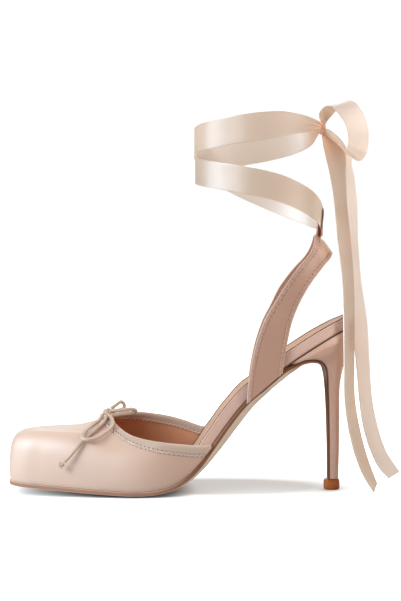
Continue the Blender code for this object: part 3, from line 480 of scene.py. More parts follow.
def upper_grid(columns_wing, columns_toe, wall_steps, round_steps, top_steps):
    """The upper's outer surface: a column of points for each place along the outline."""
    rear_out, rear_in = TOPLINE[0][0], TOPLINE[-1][0]
    outer, inner = OUTLINE_POINTS[: TOE_INDEX + 1], OUTLINE_POINTS[TOE_INDEX:]
    start = int(np.argmin(abs(outer[:, 0] - rear_out)))
    finish = TOE_INDEX + int(np.argmin(abs(inner[:, 0] - rear_in)))
    foot = OUTLINE_POINTS[start: finish + 1]
    distance = along(np.column_stack([foot, np.zeros(len(foot))]))
    length = distance[-1]
    toe_at = distance[TOE_INDEX - start] / length
    out_split = distance[int(np.argmin(abs(outer[start:, 0] - FORE_END)))] / length
    in_split = distance[TOE_INDEX - start + int(np.argmin(abs(inner[:, 0] - FORE_END)))] / length
    places = np.concatenate([
        np.linspace(0.0, out_split, columns_wing, endpoint=False),
        np.linspace(out_split, toe_at, columns_toe, endpoint=False),
        np.linspace(toe_at, in_split, columns_toe, endpoint=False),
        np.linspace(in_split, 1.0, columns_wing)])
    foot_x = np.interp(places * length, distance, foot[:, 0])
    foot_y = np.interp(places * length, distance, foot[:, 1])
    foot_z = bed_height(foot_x)
    rim = matched_rim(places, foot_x, out_split, toe_at, in_split)
    profile = np.array(UPPER_PROFILE)
    shares = np.where(places <= toe_at, 0.5 * places / toe_at,
                      0.5 + 0.5 * (places - toe_at) / (1 - toe_at))
    shape = smooth(profile[:, 0], profile[:, 1:], shares)
    grid = []
    for x, y, z, goal, (corner, inset, rounding, dip) in zip(foot_x, foot_y, foot_z, rim, shape):
        foot_point = np.array([x, y, z])
        flat_way = np.array([goal[0] - x, goal[1] - y, 0.0])
        reach = max(np.linalg.norm(flat_way), 0.05)
        flat_way /= reach
        rise = goal[2] - z
        inset = min(inset, 0.6 * reach)
        bend = foot_point + flat_way * inset + np.array([0.0, 0.0, rise * corner])
        wall = np.linalg.norm(bend - foot_point)
        run = np.linalg.norm(goal - bend)
        below = bend + (foot_point - bend) / wall * min(rounding, 0.8 * wall)
        beyond = bend + (goal - bend) / run * min(rounding, 0.8 * run)
        bulge = WALL_BULGE * min(1.0, wall / 20.0)
        column = []
        for t in np.linspace(0.0, 1.0, wall_steps, endpoint=False):
            swell = bulge * math.sin(math.pi * t * 0.75)
            column.append(foot_point + (below - foot_point) * t - flat_way * swell)
        swell = bulge * math.sin(math.pi * 0.75)
        for t in np.linspace(0.0, 1.0, round_steps, endpoint=False):
            arc = (1 - t) ** 2 * below + 2 * t * (1 - t) * bend + t * t * beyond
            column.append(arc - flat_way * swell * (1 - t) ** 2)
        for t in np.linspace(0.0, 1.0, top_steps):
            flat = beyond + (goal - beyond) * t
            column.append(flat - np.array([0.0, 0.0, dip * 4 * t * (1 - t)]))
        grid.append(column)
    return np.array(grid)


def matched_rim(places, foot_x, out_split, toe_at, in_split):
    """The point of the topline that each place on the outline leads up to."""
    top = np.array(TOPLINE)
    distance = along(top)
    dense_at = np.linspace(0.0, distance[-1], RIM_STEPS)
    dense = smooth(distance, top, dense_at)
    peak = int(np.argmin(dense[:, 0]))
    wing_out = dense[: peak + 1][::-1, 0], dense_at[: peak + 1][::-1]
    wing_in = dense[peak:, 0], dense_at[peak:]
    top_out = np.interp(FORE_END, *wing_out)
    top_in = np.interp(FORE_END, *wing_in)
    matched = []
    for place, x in zip(places, foot_x):
        if place < out_split:
            matched.append(np.interp(x, *wing_out))
        elif place <= toe_at:
            share = (place - out_split) / (toe_at - out_split)
            matched.append(top_out + (dense_at[peak] - top_out) * share)
        elif place < in_split:
            share = (place - toe_at) / (in_split - toe_at)
            matched.append(dense_at[peak] + (top_in - dense_at[peak]) * share)
        else:
            matched.append(np.interp(x, *wing_in))
    return smooth(distance, top, matched)


# ---------------------------------------------------------------- meshes

def face_normals(grid, towards):
    """A unit normal at each point of a grid, on the side that towards points to at its middle."""
    normals = unit(np.cross(np.gradient(grid, axis=0), np.gradient(grid, axis=1)))
    middle = normals[len(grid) // 2, grid.shape[1] // 2]
    return -normals if np.dot(middle, towards) < 0 else normals


def lengths_along(grid, axis):
    """Distance of each row or column of a grid from the first, along its middle."""
    middle = grid.shape[1 - axis] // 2
    return along(grid[:, middle] if axis == 0 else grid[middle])


def quads(rows, columns, start=0, closed=False, flip=False):
    """The faces of a grid of points, and the row and column of each corner."""
    across = columns if closed else columns - 1
    row, column = np.meshgrid(np.arange(rows - 1), np.arange(across), indexing="ij")
    row, column = row.ravel(), column.ravel()
    corner_rows = np.stack([row, row, row + 1, row + 1], axis=1)
    corner_columns = np.stack([column, column + 1, column + 1, column], axis=1)
    if flip:
        corner_rows, corner_columns = corner_rows[:, ::-1], corner_columns[:, ::-1]
    faces = start + corner_rows * columns + corner_columns % columns
    return faces, corner_rows, corner_columns


def make_piece(name, points, faces, uvs, material, tints=None):
    """A piece with its cloth map in millimetres, faces outwards, smooth but for its sharp edges."""
    mesh = bpy.data.meshes.new(name)
    mesh.from_pydata((np.asarray(points) * MM).tolist(), [], [tuple(face) for face in faces])
    layer = mesh.uv_layers.new(name="cloth")
    layer.data.foreach_set("uv", np.asarray(uvs, np.float32).ravel())
    for tint, values in (tints or {}).items():
        mesh.attributes.new(tint, "FLOAT", "POINT").data.foreach_set("value", values.ravel())
    work = bmesh.new()
    work.from_mesh(mesh)
    bmesh.ops.recalc_face_normals(work, faces=work.faces)
    work.to_mesh(mesh)
    work.free()
    mesh.shade_smooth()
    mesh.set_sharp_from_angle(angle=math.radians(SHARP_ANGLE))
    mesh.materials.append(material)
    piece = bpy.data.objects.new(name, mesh)
    bpy.context.scene.collection.objects.link(piece)
    return piece


def make_wall(name, outside, inside, material, tints=None):
    """A closed wall between two grids of the same size."""
    rows, columns = outside.shape[:2]
    size = rows * columns
    u, v = lengths_along(outside, 1), lengths_along(outside, 0)
    faces, uvs = [], []
    for start, flip in ((0, False), (size, True)):
        made, corner_rows, corner_columns = quads(rows, columns, start, flip=flip)
        faces.extend(made.tolist())
        uvs.append(np.stack([v[corner_rows], u[corner_columns]], axis=2).reshape(-1, 2))
    border = [(0, c) for c in range(columns - 1)] + [(r, columns - 1) for r in range(rows - 1)]
    border += [(rows - 1, c) for c in range(columns - 1, 0, -1)]
    border += [(r, 0) for r in range(rows - 1, 0, -1)]
    for (row, column), (next_row, next_column) in zip(border, border[1:] + border[:1]):
        first, second = row * columns + column, next_row * columns + next_column
        faces.append((second, first, first + size, second + size))
        near, far = (v[row], u[column]), (v[next_row], u[next_column])
        uvs.append(np.array([far, near, near, far]))
    points = np.concatenate([outside.reshape(-1, 3), inside.reshape(-1, 3)])
    doubled = {tint: np.concatenate([values.ravel()] * 2) for tint, values in (tints or {}).items()}
    doubled["inner"] = np.repeat([0.0, 1.0], size)
    return make_piece(name, points, faces, np.concatenate(uvs), material, doubled)


def make_loft(name, rings, material, capped=True, tints=None):
    """A solid through closed rings; without caps, the last ring joins the first."""
    rings = np.asarray(rings, float)
    if not capped:
        rings = np.concatenate([rings, rings[:1]])
    count, size = rings.shape[:2]
    round_ring = np.concatenate([rings[count // 2], rings[count // 2][:1]])
    u, v = along(round_ring), along(rings[:, 0])
    faces, corner_rows, corner_columns = quads(count, size, closed=True)
    uvs = np.stack([v[corner_rows], u[corner_columns]], axis=2).reshape(-1, 2)
    points = rings.reshape(-1, 3)
    if not capped:
        points = points[:-size]
        faces = faces % len(points)
    faces = faces.tolist()
    if capped:
        faces.append(list(range(size)))
        faces.append(list(range((count - 1) * size, count * size)))
        uvs = np.concatenate([uvs, np.stack([np.full(size, v[0]), u[:-1]], axis=1),
                              np.stack([np.full(size, v[-1]), u[:-1]], axis=1)])
    return make_piece(name, points, faces, uvs, material, tints)


def carried_frames(points):
    """Two directions across a line at each of its points, carried along without twist."""
    ways = unit(np.gradient(points, axis=0))
    side = np.cross(ways[0], (0.0, 0.0, 1.0))
    if np.linalg.norm(side) < 0.1:
        side = np.cross(ways[0], (0.0, 1.0, 0.0))
    sides = []
    for way in ways:
        side = side - way * np.dot(side, way)
        side = side / np.linalg.norm(side)
        sides.append(side)
    sides = np.array(sides)
    return sides, np.cross(ways, sides)


def cord_rings(points, radius, sides=14, wrinkle=0.0, flatten=1.0):
    """Rings round a line; wrinkle is the depth of the cloth's small folds, of the radius."""
    across, upwards = carried_frames(points)
    angles = np.linspace(0.0, 2 * math.pi, sides, endpoint=False)
    rings = []
    for place, side, up, s in zip(points, across, upwards, along(points)):
        folds = np.sin(2 * math.pi * s / 1.7 + 2 * angles) + 0.7 * np.sin(2 * math.pi * s / 3.9 - angles)
        reach = radius * (1 + wrinkle * folds)
        rings.append(place + np.outer(reach * np.cos(angles), side)
                     + np.outer(reach * np.sin(angles) * flatten, up))
    return np.array(rings)


def ribbon_walls(first, second, sign, cup):
    """The two faces of a ribbon between two edges, and its middle line.

    Where the edges close up, the ribbon is pleated; cup is how far its middle bows out."""
    middle, half = (first + second) / 2, (second - first) / 2
    width = 2 * np.linalg.norm(half, axis=1)
    out = unit(np.cross(np.gradient(middle, axis=0), half)) * sign
    pleat = PLEAT_DEPTH * (1 - ease(PLEAT_FROM / 2, PLEAT_FROM, width)) * ease(1.0, 3.0, width)
    distance = along(middle)
    shares = np.linspace(-1.0, 1.0, RIBBON_ACROSS)
    selvedge = 1 + 0.5 * ease(0.9, 1.0, abs(shares))
    body, edge = [], []
    for place, side, normal, deep, wide, s in zip(middle, half, out, pleat, width, distance):
        phase = 0.25 * math.sin(s / 17.0)
        lift = cup * (1 - shares**2) * wide / RIBBON_WIDTH
        lift = lift + deep * np.sin(math.pi * PLEATS * (shares + phase))
        body.append(place + np.outer(shares, side) + np.outer(lift, normal))
        edge.append(np.outer(selvedge * RIBBON_THICKNESS / 2, normal))
    body, edge = np.array(body), np.array(edge)
    return body + edge, body - edge, middle


# ---------------------------------------------------------------- materials

# The width of a satin thread, drawn coarser than the real 0.1 so that it shows.
SATIN_THREAD = 0.32


def linear(hex_value):
    """An sRGB hex colour as linear light."""
    parts = [int(hex_value[at:at + 2], 16) / 255 for at in (1, 3, 5)]
    return tuple(p / 12.92 if p <= 0.04045 else ((p + 0.055) / 1.055) ** 2.4 for p in parts) + (1.0,)


def set_sockets(tree, node, sockets):
    """Gives each of a node's sockets its value, or links another node's output to it."""
    for key, value in sockets.items():
        if isinstance(value, bpy.types.NodeSocket):
            tree.links.new(value, node.inputs[key])
        else:
            node.inputs[key].default_value = value


def add_node(tree, kind, inputs=None, **settings):
    """A node with its settings; inputs gives each socket a value, or another node's output to link."""
    made = tree.nodes.new(kind)
    for key, value in settings.items():
        setattr(made, key, value)
    set_sockets(tree, made, inputs or {})
    return made


def new_material(name):
    material = bpy.data.materials.new(name)
    material.use_nodes = True
    tree = material.node_tree
    return material, tree, tree.nodes["Principled BSDF"]


def satin(name, lit, deep, roughness, sheen, sheer=0.0, painted_patch=None, back=None, gleam=1.55):
    """Woven silk satin: long floats of thread that give a broad, soft, one-way gleam.

    sheer is the share of light that a single unlined layer lets through. painted_patch is painted light
    or shade round one place, as colour, middle, near and far radius. back is the colour of its inner
    face, painted lighter for light let through or darker for shade, and gleam the index of refraction
    that stands for its lustre."""
    material, tree, shader = new_material(name)
    cloth = add_node(tree, "ShaderNodeUVMap", uv_map="cloth")
    cloud_place = add_node(tree, "ShaderNodeTexCoord")
    clouds = add_node(tree, "ShaderNodeTexNoise",
                      {"Vector": cloud_place.outputs["Object"], "Scale": 38.0, "Detail": 3.0})
    tone = add_node(tree, "ShaderNodeMix",
                    {0: clouds.outputs["Fac"], 6: linear(deep), 7: linear(lit)}, data_type="RGBA")
    colour = tone.outputs[2]
    # The inner face takes its own colour: painted lighter for light let through, or darker for shade.
    if back:
        inner = add_node(tree, "ShaderNodeAttribute", attribute_name="inner")
        faced = add_node(tree, "ShaderNodeMix", {0: inner.outputs["Fac"], 6: colour, 7: linear(back)},
                         data_type="RGBA")
        colour = faced.outputs[2]
    # A patch of painted light or shade round one place.
    if painted_patch:
        painted_colour, middle, inner_radius, outer_radius = painted_patch
        away = add_node(tree, "ShaderNodeVectorMath",
                        {0: cloud_place.outputs["Object"], 1: [value * MM for value in middle]},
                        operation="DISTANCE")
        near = add_node(tree, "ShaderNodeMapRange",
                        {"Value": away.outputs["Value"], "From Min": inner_radius * MM,
                         "From Max": outer_radius * MM, "To Min": 1.0, "To Max": 0.0},
                        interpolation_type="SMOOTHSTEP")
        painted_mix = add_node(tree, "ShaderNodeMix", {0: near.outputs[0], 6: colour, 7: linear(painted_colour)},
                          data_type="RGBA")
        colour = painted_mix.outputs[2]
    threads = add_node(tree, "ShaderNodeTexWave",
                       {"Vector": cloth.outputs["UV"], "Scale": 0.314 / SATIN_THREAD, "Distortion": 1.2,
                        "Detail": 1.0, "Detail Scale": 1.5},
                       wave_type="BANDS", bands_direction="Y")
    floats_place = add_node(tree, "ShaderNodeMapping",
                            {"Vector": cloth.outputs["UV"], "Scale": (0.9, 3.2, 1.0)})
    floats = add_node(tree, "ShaderNodeTexNoise",
                      {"Vector": floats_place.outputs["Vector"], "Scale": 1.0, "Detail": 2.0})
    weave = add_node(tree, "ShaderNodeMath", {0: threads.outputs["Fac"], 1: floats.outputs["Fac"]},
                     operation="MULTIPLY")
    relief = add_node(tree, "ShaderNodeBump",
                      {"Height": weave.outputs[0], "Strength": 0.2, "Distance": 0.00005})
    tangent = add_node(tree, "ShaderNodeTangent", direction_type="UV_MAP", uv_map="cloth")
    rough = add_node(tree, "ShaderNodeMapRange",
                     {"Value": floats.outputs["Fac"], "To Min": roughness - 0.05,
                      "To Max": roughness + 0.05})
    set_sockets(tree, shader, {
        "Base Color": colour, "Roughness": rough.outputs[0], "Normal": relief.outputs[0],
        "Tangent": tangent.outputs[0], "Anisotropic": 0.3, "Specular IOR Level": 1.0, "IOR": gleam,
        "Sheen Weight": sheen, "Sheen Roughness": 0.6, "Sheen Tint": linear("#FFF6EE")})
    if sheer:
        through = add_node(tree, "ShaderNodeBsdfTranslucent", {"Color": colour})
        blend = add_node(tree, "ShaderNodeMixShader",
                         {0: sheer, 1: shader.outputs[0], 2: through.outputs[0]})
        tree.links.new(blend.outputs[0], tree.nodes["Material Output"].inputs["Surface"])
    return material


def leather(name, lit, deep, grain, roughness, edge=None, waist=None, shine=0.3):
    """Calf leather: fine pebbled grain and a soft, uneven tone; grain is the pebble size in millimetres.

    edge and waist are the dye on the cut edge, at the forepart and behind the ball; shine is how
    much its finish reflects."""
    material, tree, shader = new_material(name)
    place = add_node(tree, "ShaderNodeTexCoord")
    clouds = add_node(tree, "ShaderNodeTexNoise",
                      {"Vector": place.outputs["Object"], "Scale": 70.0, "Detail": 4.0})
    tone = add_node(tree, "ShaderNodeMix",
                    {0: clouds.outputs["Fac"], 6: linear(deep), 7: linear(lit)}, data_type="RGBA")
    colour = tone.outputs[2]
    if edge:
        split = add_node(tree, "ShaderNodeSeparateXYZ", {"Vector": place.outputs["Object"]})
        behind = add_node(tree, "ShaderNodeMapRange",
                          {"Value": split.outputs["X"], "From Min": EDGE_DYE_TURN[0] * MM,
                           "From Max": EDGE_DYE_TURN[1] * MM})
        dye = add_node(tree, "ShaderNodeMix", {0: behind.outputs[0], 6: linear(edge), 7: linear(waist)},
                       data_type="RGBA")
        cut = add_node(tree, "ShaderNodeAttribute", attribute_name="edge")
        sides = add_node(tree, "ShaderNodeMix", {0: cut.outputs["Fac"], 6: colour, 7: dye.outputs[2]},
                         data_type="RGBA")
        colour = sides.outputs[2]
    pebbles = add_node(tree, "ShaderNodeTexVoronoi",
                       {"Vector": place.outputs["Object"], "Scale": 1 / (grain * MM), "Randomness": 0.9})
    relief = add_node(tree, "ShaderNodeBump",
                      {"Height": pebbles.outputs["Distance"], "Strength": 0.3,
                       "Distance": grain * MM * 0.25})
    rough = add_node(tree, "ShaderNodeMapRange",
                     {"Value": clouds.outputs["Fac"], "To Min": roughness - 0.08,
                      "To Max": roughness + 0.08})
    set_sockets(tree, shader, {"Base Color": colour, "Roughness": rough.outputs[0],
                                   "Normal": relief.outputs[0], "IOR": 1.5, "Specular IOR Level": shine})
    return material


def thread_material(name, deep, lit):
    """Spun polyester sewing thread: a pale glint on each stitch, with a fine twist."""
    material, tree, shader = new_material(name)
    place = add_node(tree, "ShaderNodeTexCoord")
    twist = add_node(tree, "ShaderNodeTexWave", {"Vector": place.outputs["Object"], "Scale": 900.0},
                     bands_direction="DIAGONAL")
    tone = add_node(tree, "ShaderNodeMix",
                    {0: twist.outputs["Fac"], 6: linear(deep), 7: linear(lit)}, data_type="RGBA")
    set_sockets(tree, shader, {"Base Color": tone.outputs[2], "Roughness": 0.42,
                                   "Specular IOR Level": 0.8, "Sheen Weight": 0.4})
    return material


def tip_material():
    """Moulded polyurethane heel tip: dull amber brown, faintly mottled."""
    material, tree, shader = new_material("moulded_heel_tip")
    place = add_node(tree, "ShaderNodeTexCoord")
    mottle = add_node(tree, "ShaderNodeTexNoise",
                      {"Vector": place.outputs["Object"], "Scale": 500.0, "Detail": 3.0})
    tone = add_node(tree, "ShaderNodeMix",
                    {0: mottle.outputs["Fac"], 6: linear("#96481A"), 7: linear("#C8702E")},
                    data_type="RGBA")
    relief = add_node(tree, "ShaderNodeBump",
                      {"Height": mottle.outputs["Fac"], "Strength": 0.15, "Distance": 0.0001})
    set_sockets(tree, shader, {"Base Color": tone.outputs[2], "Roughness": 0.45,
                                   "Normal": relief.outputs[0], "IOR": 1.49})
    return material


# The vamp's satin, with painted shade round one place by the ball.
BLUSH_SATIN = satin("blush_satin", "#CEAB95", "#C5A18B", 0.5, 0.4,
                    painted_patch=("#B9917A", VAMP_PAINTED_SHADE, 5.0, 45.0))
# The casing: a darker, greyer copy of the vamp's satin, its darkness painted shade.
CASING_SATIN_PAINTED_SHADE = satin("casing_satin_painted_shade", "#BDA08B", "#AF927E", 0.5, 0.4)
# The sling: a darker, rosier copy of the same satin, its darkness painted shade, with a painted highlight
# round its peak.
SLING_SATIN_PAINTED_SHADE = satin("rose_satin", "#B4866E", "#A87962", 0.5, 0.3,
                   painted_patch=("#DBB194", SLING_PAINTED_HIGHLIGHT, 2.0, 16.0))
# The keeper: a lighter copy of the sling's satin, painted light, its inner face darker, painted shade.
KEEPER_SATIN_PAINTED_LIGHT_AND_SHADE = satin("keeper_satin_painted_light_and_shade", "#E6BDA6", "#DCB098", 0.5, 0.3, back="#B4664B")
# The heel: a lighter copy of the sling's satin, its lightness painted light.
HEEL_SATIN_PAINTED_LIGHT = satin("heel_satin_painted_light", "#D6AA93", "#CB9D86", 0.5, 0.3)
# The insole's band: a lighter copy of the sling's satin, its lightness painted light.
BAND_SATIN_PAINTED_LIGHT = satin("band_satin_painted_light", "#D4AC9B", "#C99F8D", 0.5, 0.3)
# The ribbon: its warmer tone round the knot is painted warm light, and its paler inner face painted light
# let through.
RIBBON_SATIN = satin("ribbon_satin", "#E7D6C5", "#DECAB8", 0.38, 0.3, sheer=0.58,
                     painted_patch=("#F6D5BB", RIBBON_KNOT, 3.0, 34.0), back="#FBF5EF", gleam=2.3)
# The bow loop and its tail: a lighter copy of the ribbon's satin, painted light, with a paler inner face,
# painted light let through.
BOW_SATIN_PAINTED_LIGHT = satin("bow_satin_painted_light", "#F5E0CC", "#EDD4BD", 0.42, 0.3, sheer=0.58,
                  back="#FBF6F2", gleam=1.8)
CORD_SATIN = satin("cord_satin", "#C3A38B", "#A8866E", 0.5, 0.4)
# The piping: a lighter copy of the band's satin, its lightness a painted highlight.
PIPING_SATIN_PAINTED_HIGHLIGHT = satin("piping_satin_painted_highlight", "#DDB9A4", "#D2AC96", 0.45, 0.5)
LINING_LEATHER = leather("lining_kid", "#D89E79", "#C88C66", 0.5, 0.55)
# The sling's lining: a darker copy of the lining kid, its darkness painted shade.
STRAP_LINING_PAINTED_SHADE = leather("strap_lining_kid_painted_shade", "#B98C77", "#AA7E69", 0.5, 0.6)
SOCK_LEATHER = leather("sock_kid", "#E6BBA1", "#DBAC90", 0.5, 0.5)
SOLE_LEATHER = leather("sole_leather", "#E4D1C2", "#D4BFAE", 0.35, 0.8,
                       edge="#A4755F", waist="#83563A", shine=0.08)
# A dark leather for the sock's burnished edge, also laid as painted shade in gaps and needle holes.
BURNISHED_EDGE_AND_PAINTED_SHADE = leather("burnished_edge_and_painted_shade", "#6B412D", "#5A3524", 0.3, 0.5)
SEWING_THREAD = thread_material("spun_thread", "#E3CBBB", "#F8ECE1")
ROSE_THREAD = thread_material("spun_thread_rose", "#CDA893", "#EACDBB")
# The needle holes' dark brown: painted shade in the holes.
NEEDLE_HOLE_PAINTED_SHADE = thread_material("needle_hole_painted_shade", "#6E4A38", "#8C6753")
TIP_PLASTIC = tip_material()


def place_piece(piece, slot_name, *solids):
    """Fastens a finished piece to the shoe, in the place of these solids."""
    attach(piece, "root")
    if solids:
        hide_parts(*solids)
    return piece


# ---------------------------------------------------------------- camera

def make_camera():
    data = bpy.data.cameras.new("camera")
    data.lens = CAMERA_LENS
    data.sensor_width = CAMERA_SENSOR
    camera = bpy.data.objects.new("camera", data)
    camera.location = [value * MM for value in CAMERA_PLACE]
    camera.rotation_euler = (math.radians(90.0), 0.0, 0.0)
    bpy.context.scene.collection.objects.link(camera)
    bpy.context.scene.camera = camera


# ---------------------------------------------------------------- cords and ribbon ends

def trefoil(centre, reach, turn):
    """A trefoil, the line of a pulled-tight overhand knot."""
    t = np.linspace(0.0, 2 * math.pi, TREFOIL_POINTS, endpoint=False)
    flat = np.stack([np.sin(t) + 2 * np.sin(2 * t), np.cos(t) - 2 * np.cos(2 * t),
                     -1.3 * np.sin(3 * t)], axis=1)
    spin = np.array([[math.cos(turn), 0.0, math.sin(turn)], [0.0, 1.0, 0.0],
                     [-math.sin(turn), 0.0, math.cos(turn)]])
    stand = np.array([[1.0, 0.0, 0.0], [0.0, 0.25, 0.97], [0.0, -0.97, 0.25]])
    return np.array(centre) + flat @ stand.T @ spin.T * reach / 3


def closed_cord(name, points, radius, material, sides=12):
    """A closed cord through a ring of points."""
    ways = unit(np.roll(points, -1, axis=0) - np.roll(points, 1, axis=0))
    angles = np.linspace(0.0, 2 * math.pi, sides, endpoint=False)
    side = unit(np.cross(ways, points.mean(axis=0) - points))
    up = np.cross(ways, side)
    rings = [place + radius * (np.outer(np.cos(angles), a) + np.outer(np.sin(angles), b))
             for place, a, b in zip(points, side, up)]
    return make_loft(name, rings, material, capped=False)


def ball_rings(centre, half, folds=None, count=40, sides=64):
    """Rings of an ellipsoid from top to bottom; folds gives the pleats on it by angle and tilt."""
    rings = []
    angles = np.linspace(0.0, 2 * math.pi, sides, endpoint=False)
    for tilt in np.linspace(0.06, math.pi - 0.06, count):
        reach = math.sin(tilt) * (1 + (folds(angles, tilt) if folds else 0.0))
        ball = np.stack([reach * np.cos(angles), reach * np.sin(angles),
                         np.full(sides, math.cos(tilt))], axis=1)
        rings.append(np.array(centre) + ball * half)
    return rings


def make_throat_cords():
    """The draw cord's bow: upper and side loops, front loop and tail, with their knots."""
    knot = closed_cord("throat_knot_wrap", trefoil(THROAT_KNOT, 1.9, 0.5), 1.15, CORD_SATIN)
    place_piece(knot, "cord_satin", "throat_knot")
    core = make_loft("throat_knot_core", ball_rings(THROAT_KNOT, (2.1, 2.1, 2.1)), CORD_SATIN)
    place_piece(core, "cord_satin")
    end_knot = closed_cord("tail_end_overhand", trefoil(TAIL_END_KNOT, 1.15, -0.7), 1.0, CORD_SATIN)
    place_piece(end_knot, "cord_satin", "tail_end_knot")
    back_route = THROAT_LOOP_TOP + INSIDE_KNOT_BACK + THROAT_LOOP_SIDE
    front_route = THROAT_LOOP_FRONT + INSIDE_KNOT_FRONT + THROAT_TAIL
    for name, route, solids, pieces in (
            ("throat_cord_back", back_route, ("throat_loop_top", "throat_loop_side"), [knot, core]),
            ("throat_cord_front", front_route, ("throat_loop_front", "throat_tail"), [end_knot])):
        line = resample(route, int(along(route)[-1] / CORD_STEP))
        rings = cord_rings(line, CORD_RADIUS, wrinkle=CORD_WRINKLE, flatten=CORD_FLATTEN)
        cord = make_loft(name, rings, CORD_SATIN)
        place_piece(cord, "cord_satin", *solids)


def make_ribbon_ends():
    """The ankle ribbon's bow loop with its own tail, the other tail, and the knot between them."""
    knot = make_ribbon_knot()
    loop_and_tail = BOW_LOOP + INSIDE_RIBBON_KNOT + TAIL_RIGHT
    for name, rows, cloth, solids, pieces in (
            ("ribbon_bow_loop_and_tail", loop_and_tail, BOW_SATIN_PAINTED_LIGHT,
             ("bow_loop", "ribbon_tail_right"), [knot]),
            ("ribbon_tail", TAIL_LEFT, RIBBON_SATIN, ("ribbon_tail_left",), [])):
        fine = resample(rows, int(along(rows)[-1] / RIBBON_STEP))
        outside, inside, middle = ribbon_walls(fine[:, :3], fine[:, 3:], -1, RIBBON_CUP)
        walls = (outside, inside) if cloth is BOW_SATIN_PAINTED_LIGHT else (inside, outside)
        ribbon = make_wall(name, *walls, cloth)
        place_piece(ribbon, "ribbon_satin", *solids)


def make_ribbon_knot():
    """The bow's knot: the ribbon's gathered layers drawn tight."""
    def folds(angles, tilt):
        wide, narrow = np.sin(5 * angles + 2.2 * tilt), np.sin(9 * angles - 3.0 * tilt)
        return (0.15 * wide + 0.06 * narrow) * math.sin(tilt)

    half = np.array(RIBBON_KNOT_SIZE) / 2 * KNOT_PULL
    core = make_loft("ribbon_knot_pleats", ball_rings(RIBBON_KNOT, half, folds), RIBBON_SATIN)
    return place_piece(core, "ribbon_satin", "ribbon_knot")


# ---------------------------------------------------------------- ankle ribbon and its keeper

def make_ankle_ribbon():
    """The ribbon's two wraps round the ankle, which cross in front and meet in the keeper behind."""
    for name, table, layer, solids in (
            ("ankle_ribbon_outer_wrap", RIBBON_UP, RIBBON_LAYER / 2, ("ankle_ribbon",)),
            ("ankle_ribbon_inner_wrap", RIBBON_DOWN, -RIBBON_LAYER / 2, ())):
        rows = np.array(table)
        turns = np.linspace(rows[0, 0], rows[-1, 0], WRAP_SECTIONS)
        heights = smooth(rows[:, 0], rows[:, 1:], turns)
        angles = 2 * math.pi * turns
        out = unit(np.stack([np.cos(angles) / RING_HALF_LENGTH, -np.sin(angles) / RING_HALF_WIDTH,
                             np.zeros(len(turns))], axis=1))
        middle = np.stack([RING_CENTRE[0] + RING_HALF_LENGTH * np.cos(angles),
                           RING_CENTRE[1] - RING_HALF_WIDTH * np.sin(angles), heights[:, 0]], axis=1)
        middle += out * layer
        up = np.outer(heights[:, 1], (0.0, 0.0, 1.0))
        held = 1 - ease(0.0, KEEPER_SPAN, np.minimum(abs(turns), abs(turns - 1.0)))
        middle += out * (KEEPER_REACH * held)[:, None]
        lean = out * (KEEPER_LEAN * held)[:, None]
        outside, inside, _ = ribbon_walls(middle + up, middle - up - lean, 1, 0.0)
        place_piece(make_wall(name, outside, inside, RIBBON_SATIN), "ribbon_satin", *solids)


def make_keeper():
    """The narrow satin loop on the peak of the sling that holds the ribbon."""
    rows = np.array([(x, 0.0, z) for x, z in LOOP])
    padded = np.concatenate([rows[-3:], rows, rows[:3]])
    distance = along(padded)
    places = np.linspace(distance[3], distance[-3], KEEPER_SECTIONS, endpoint=False)
    closed = smooth(distance, padded, places)
    forward = unit(np.roll(closed, -1, axis=0) - np.roll(closed, 1, axis=0))
    out = np.stack([forward[:, 2], np.zeros(len(closed)), -forward[:, 0]], axis=1)
    shares = np.linspace(-1.0, 1.0, KEEPER_ACROSS)
    waist = np.array([KEEPER_PINCH[0], 0.0, 0.0])
    near = np.array([0.0, -LOOP_WIDTH / 2, 0.0])
    rings = []
    for place, normal in zip(closed, out):
        drawn = (waist - place) * (1.0, 0.0, 0.0) * float(1 - ease(*KEEPER_PINCH[1:], place[2]))
        face = [place + near + np.array([0.0, LOOP_WIDTH, 0.0]) * (share + 1) / 2
                + drawn * float(ease(*KEEPER_DRAW_GROWS, share)) * KEEPER_DRAWN for share in shares]
        thick = LOOP_THICKNESS + (LOOP_THIN - LOOP_THICKNESS) * float(ease(*KEEPER_THINS, place[2]))
        front = [point + normal * thick / 2 for point in face]
        back = [point - normal * thick / 2 for point in face]
        rings.append(front + back[::-1])
    # Most of the inner face is marked for the darker back colour: painted shade inside the loop.
    inner = np.tile(np.concatenate([np.zeros(len(shares)), shares[::-1] > KEEPER_PAINTED_SHADE_FROM]), len(rings))
    keeper = make_loft("ribbon_keeper", rings, KEEPER_SATIN_PAINTED_LIGHT_AND_SHADE, capped=False, tints={"inner": inner})
    place_piece(keeper, "rose_satin", "ribbon_loop")


# ---------------------------------------------------------------- sole, insole and heel

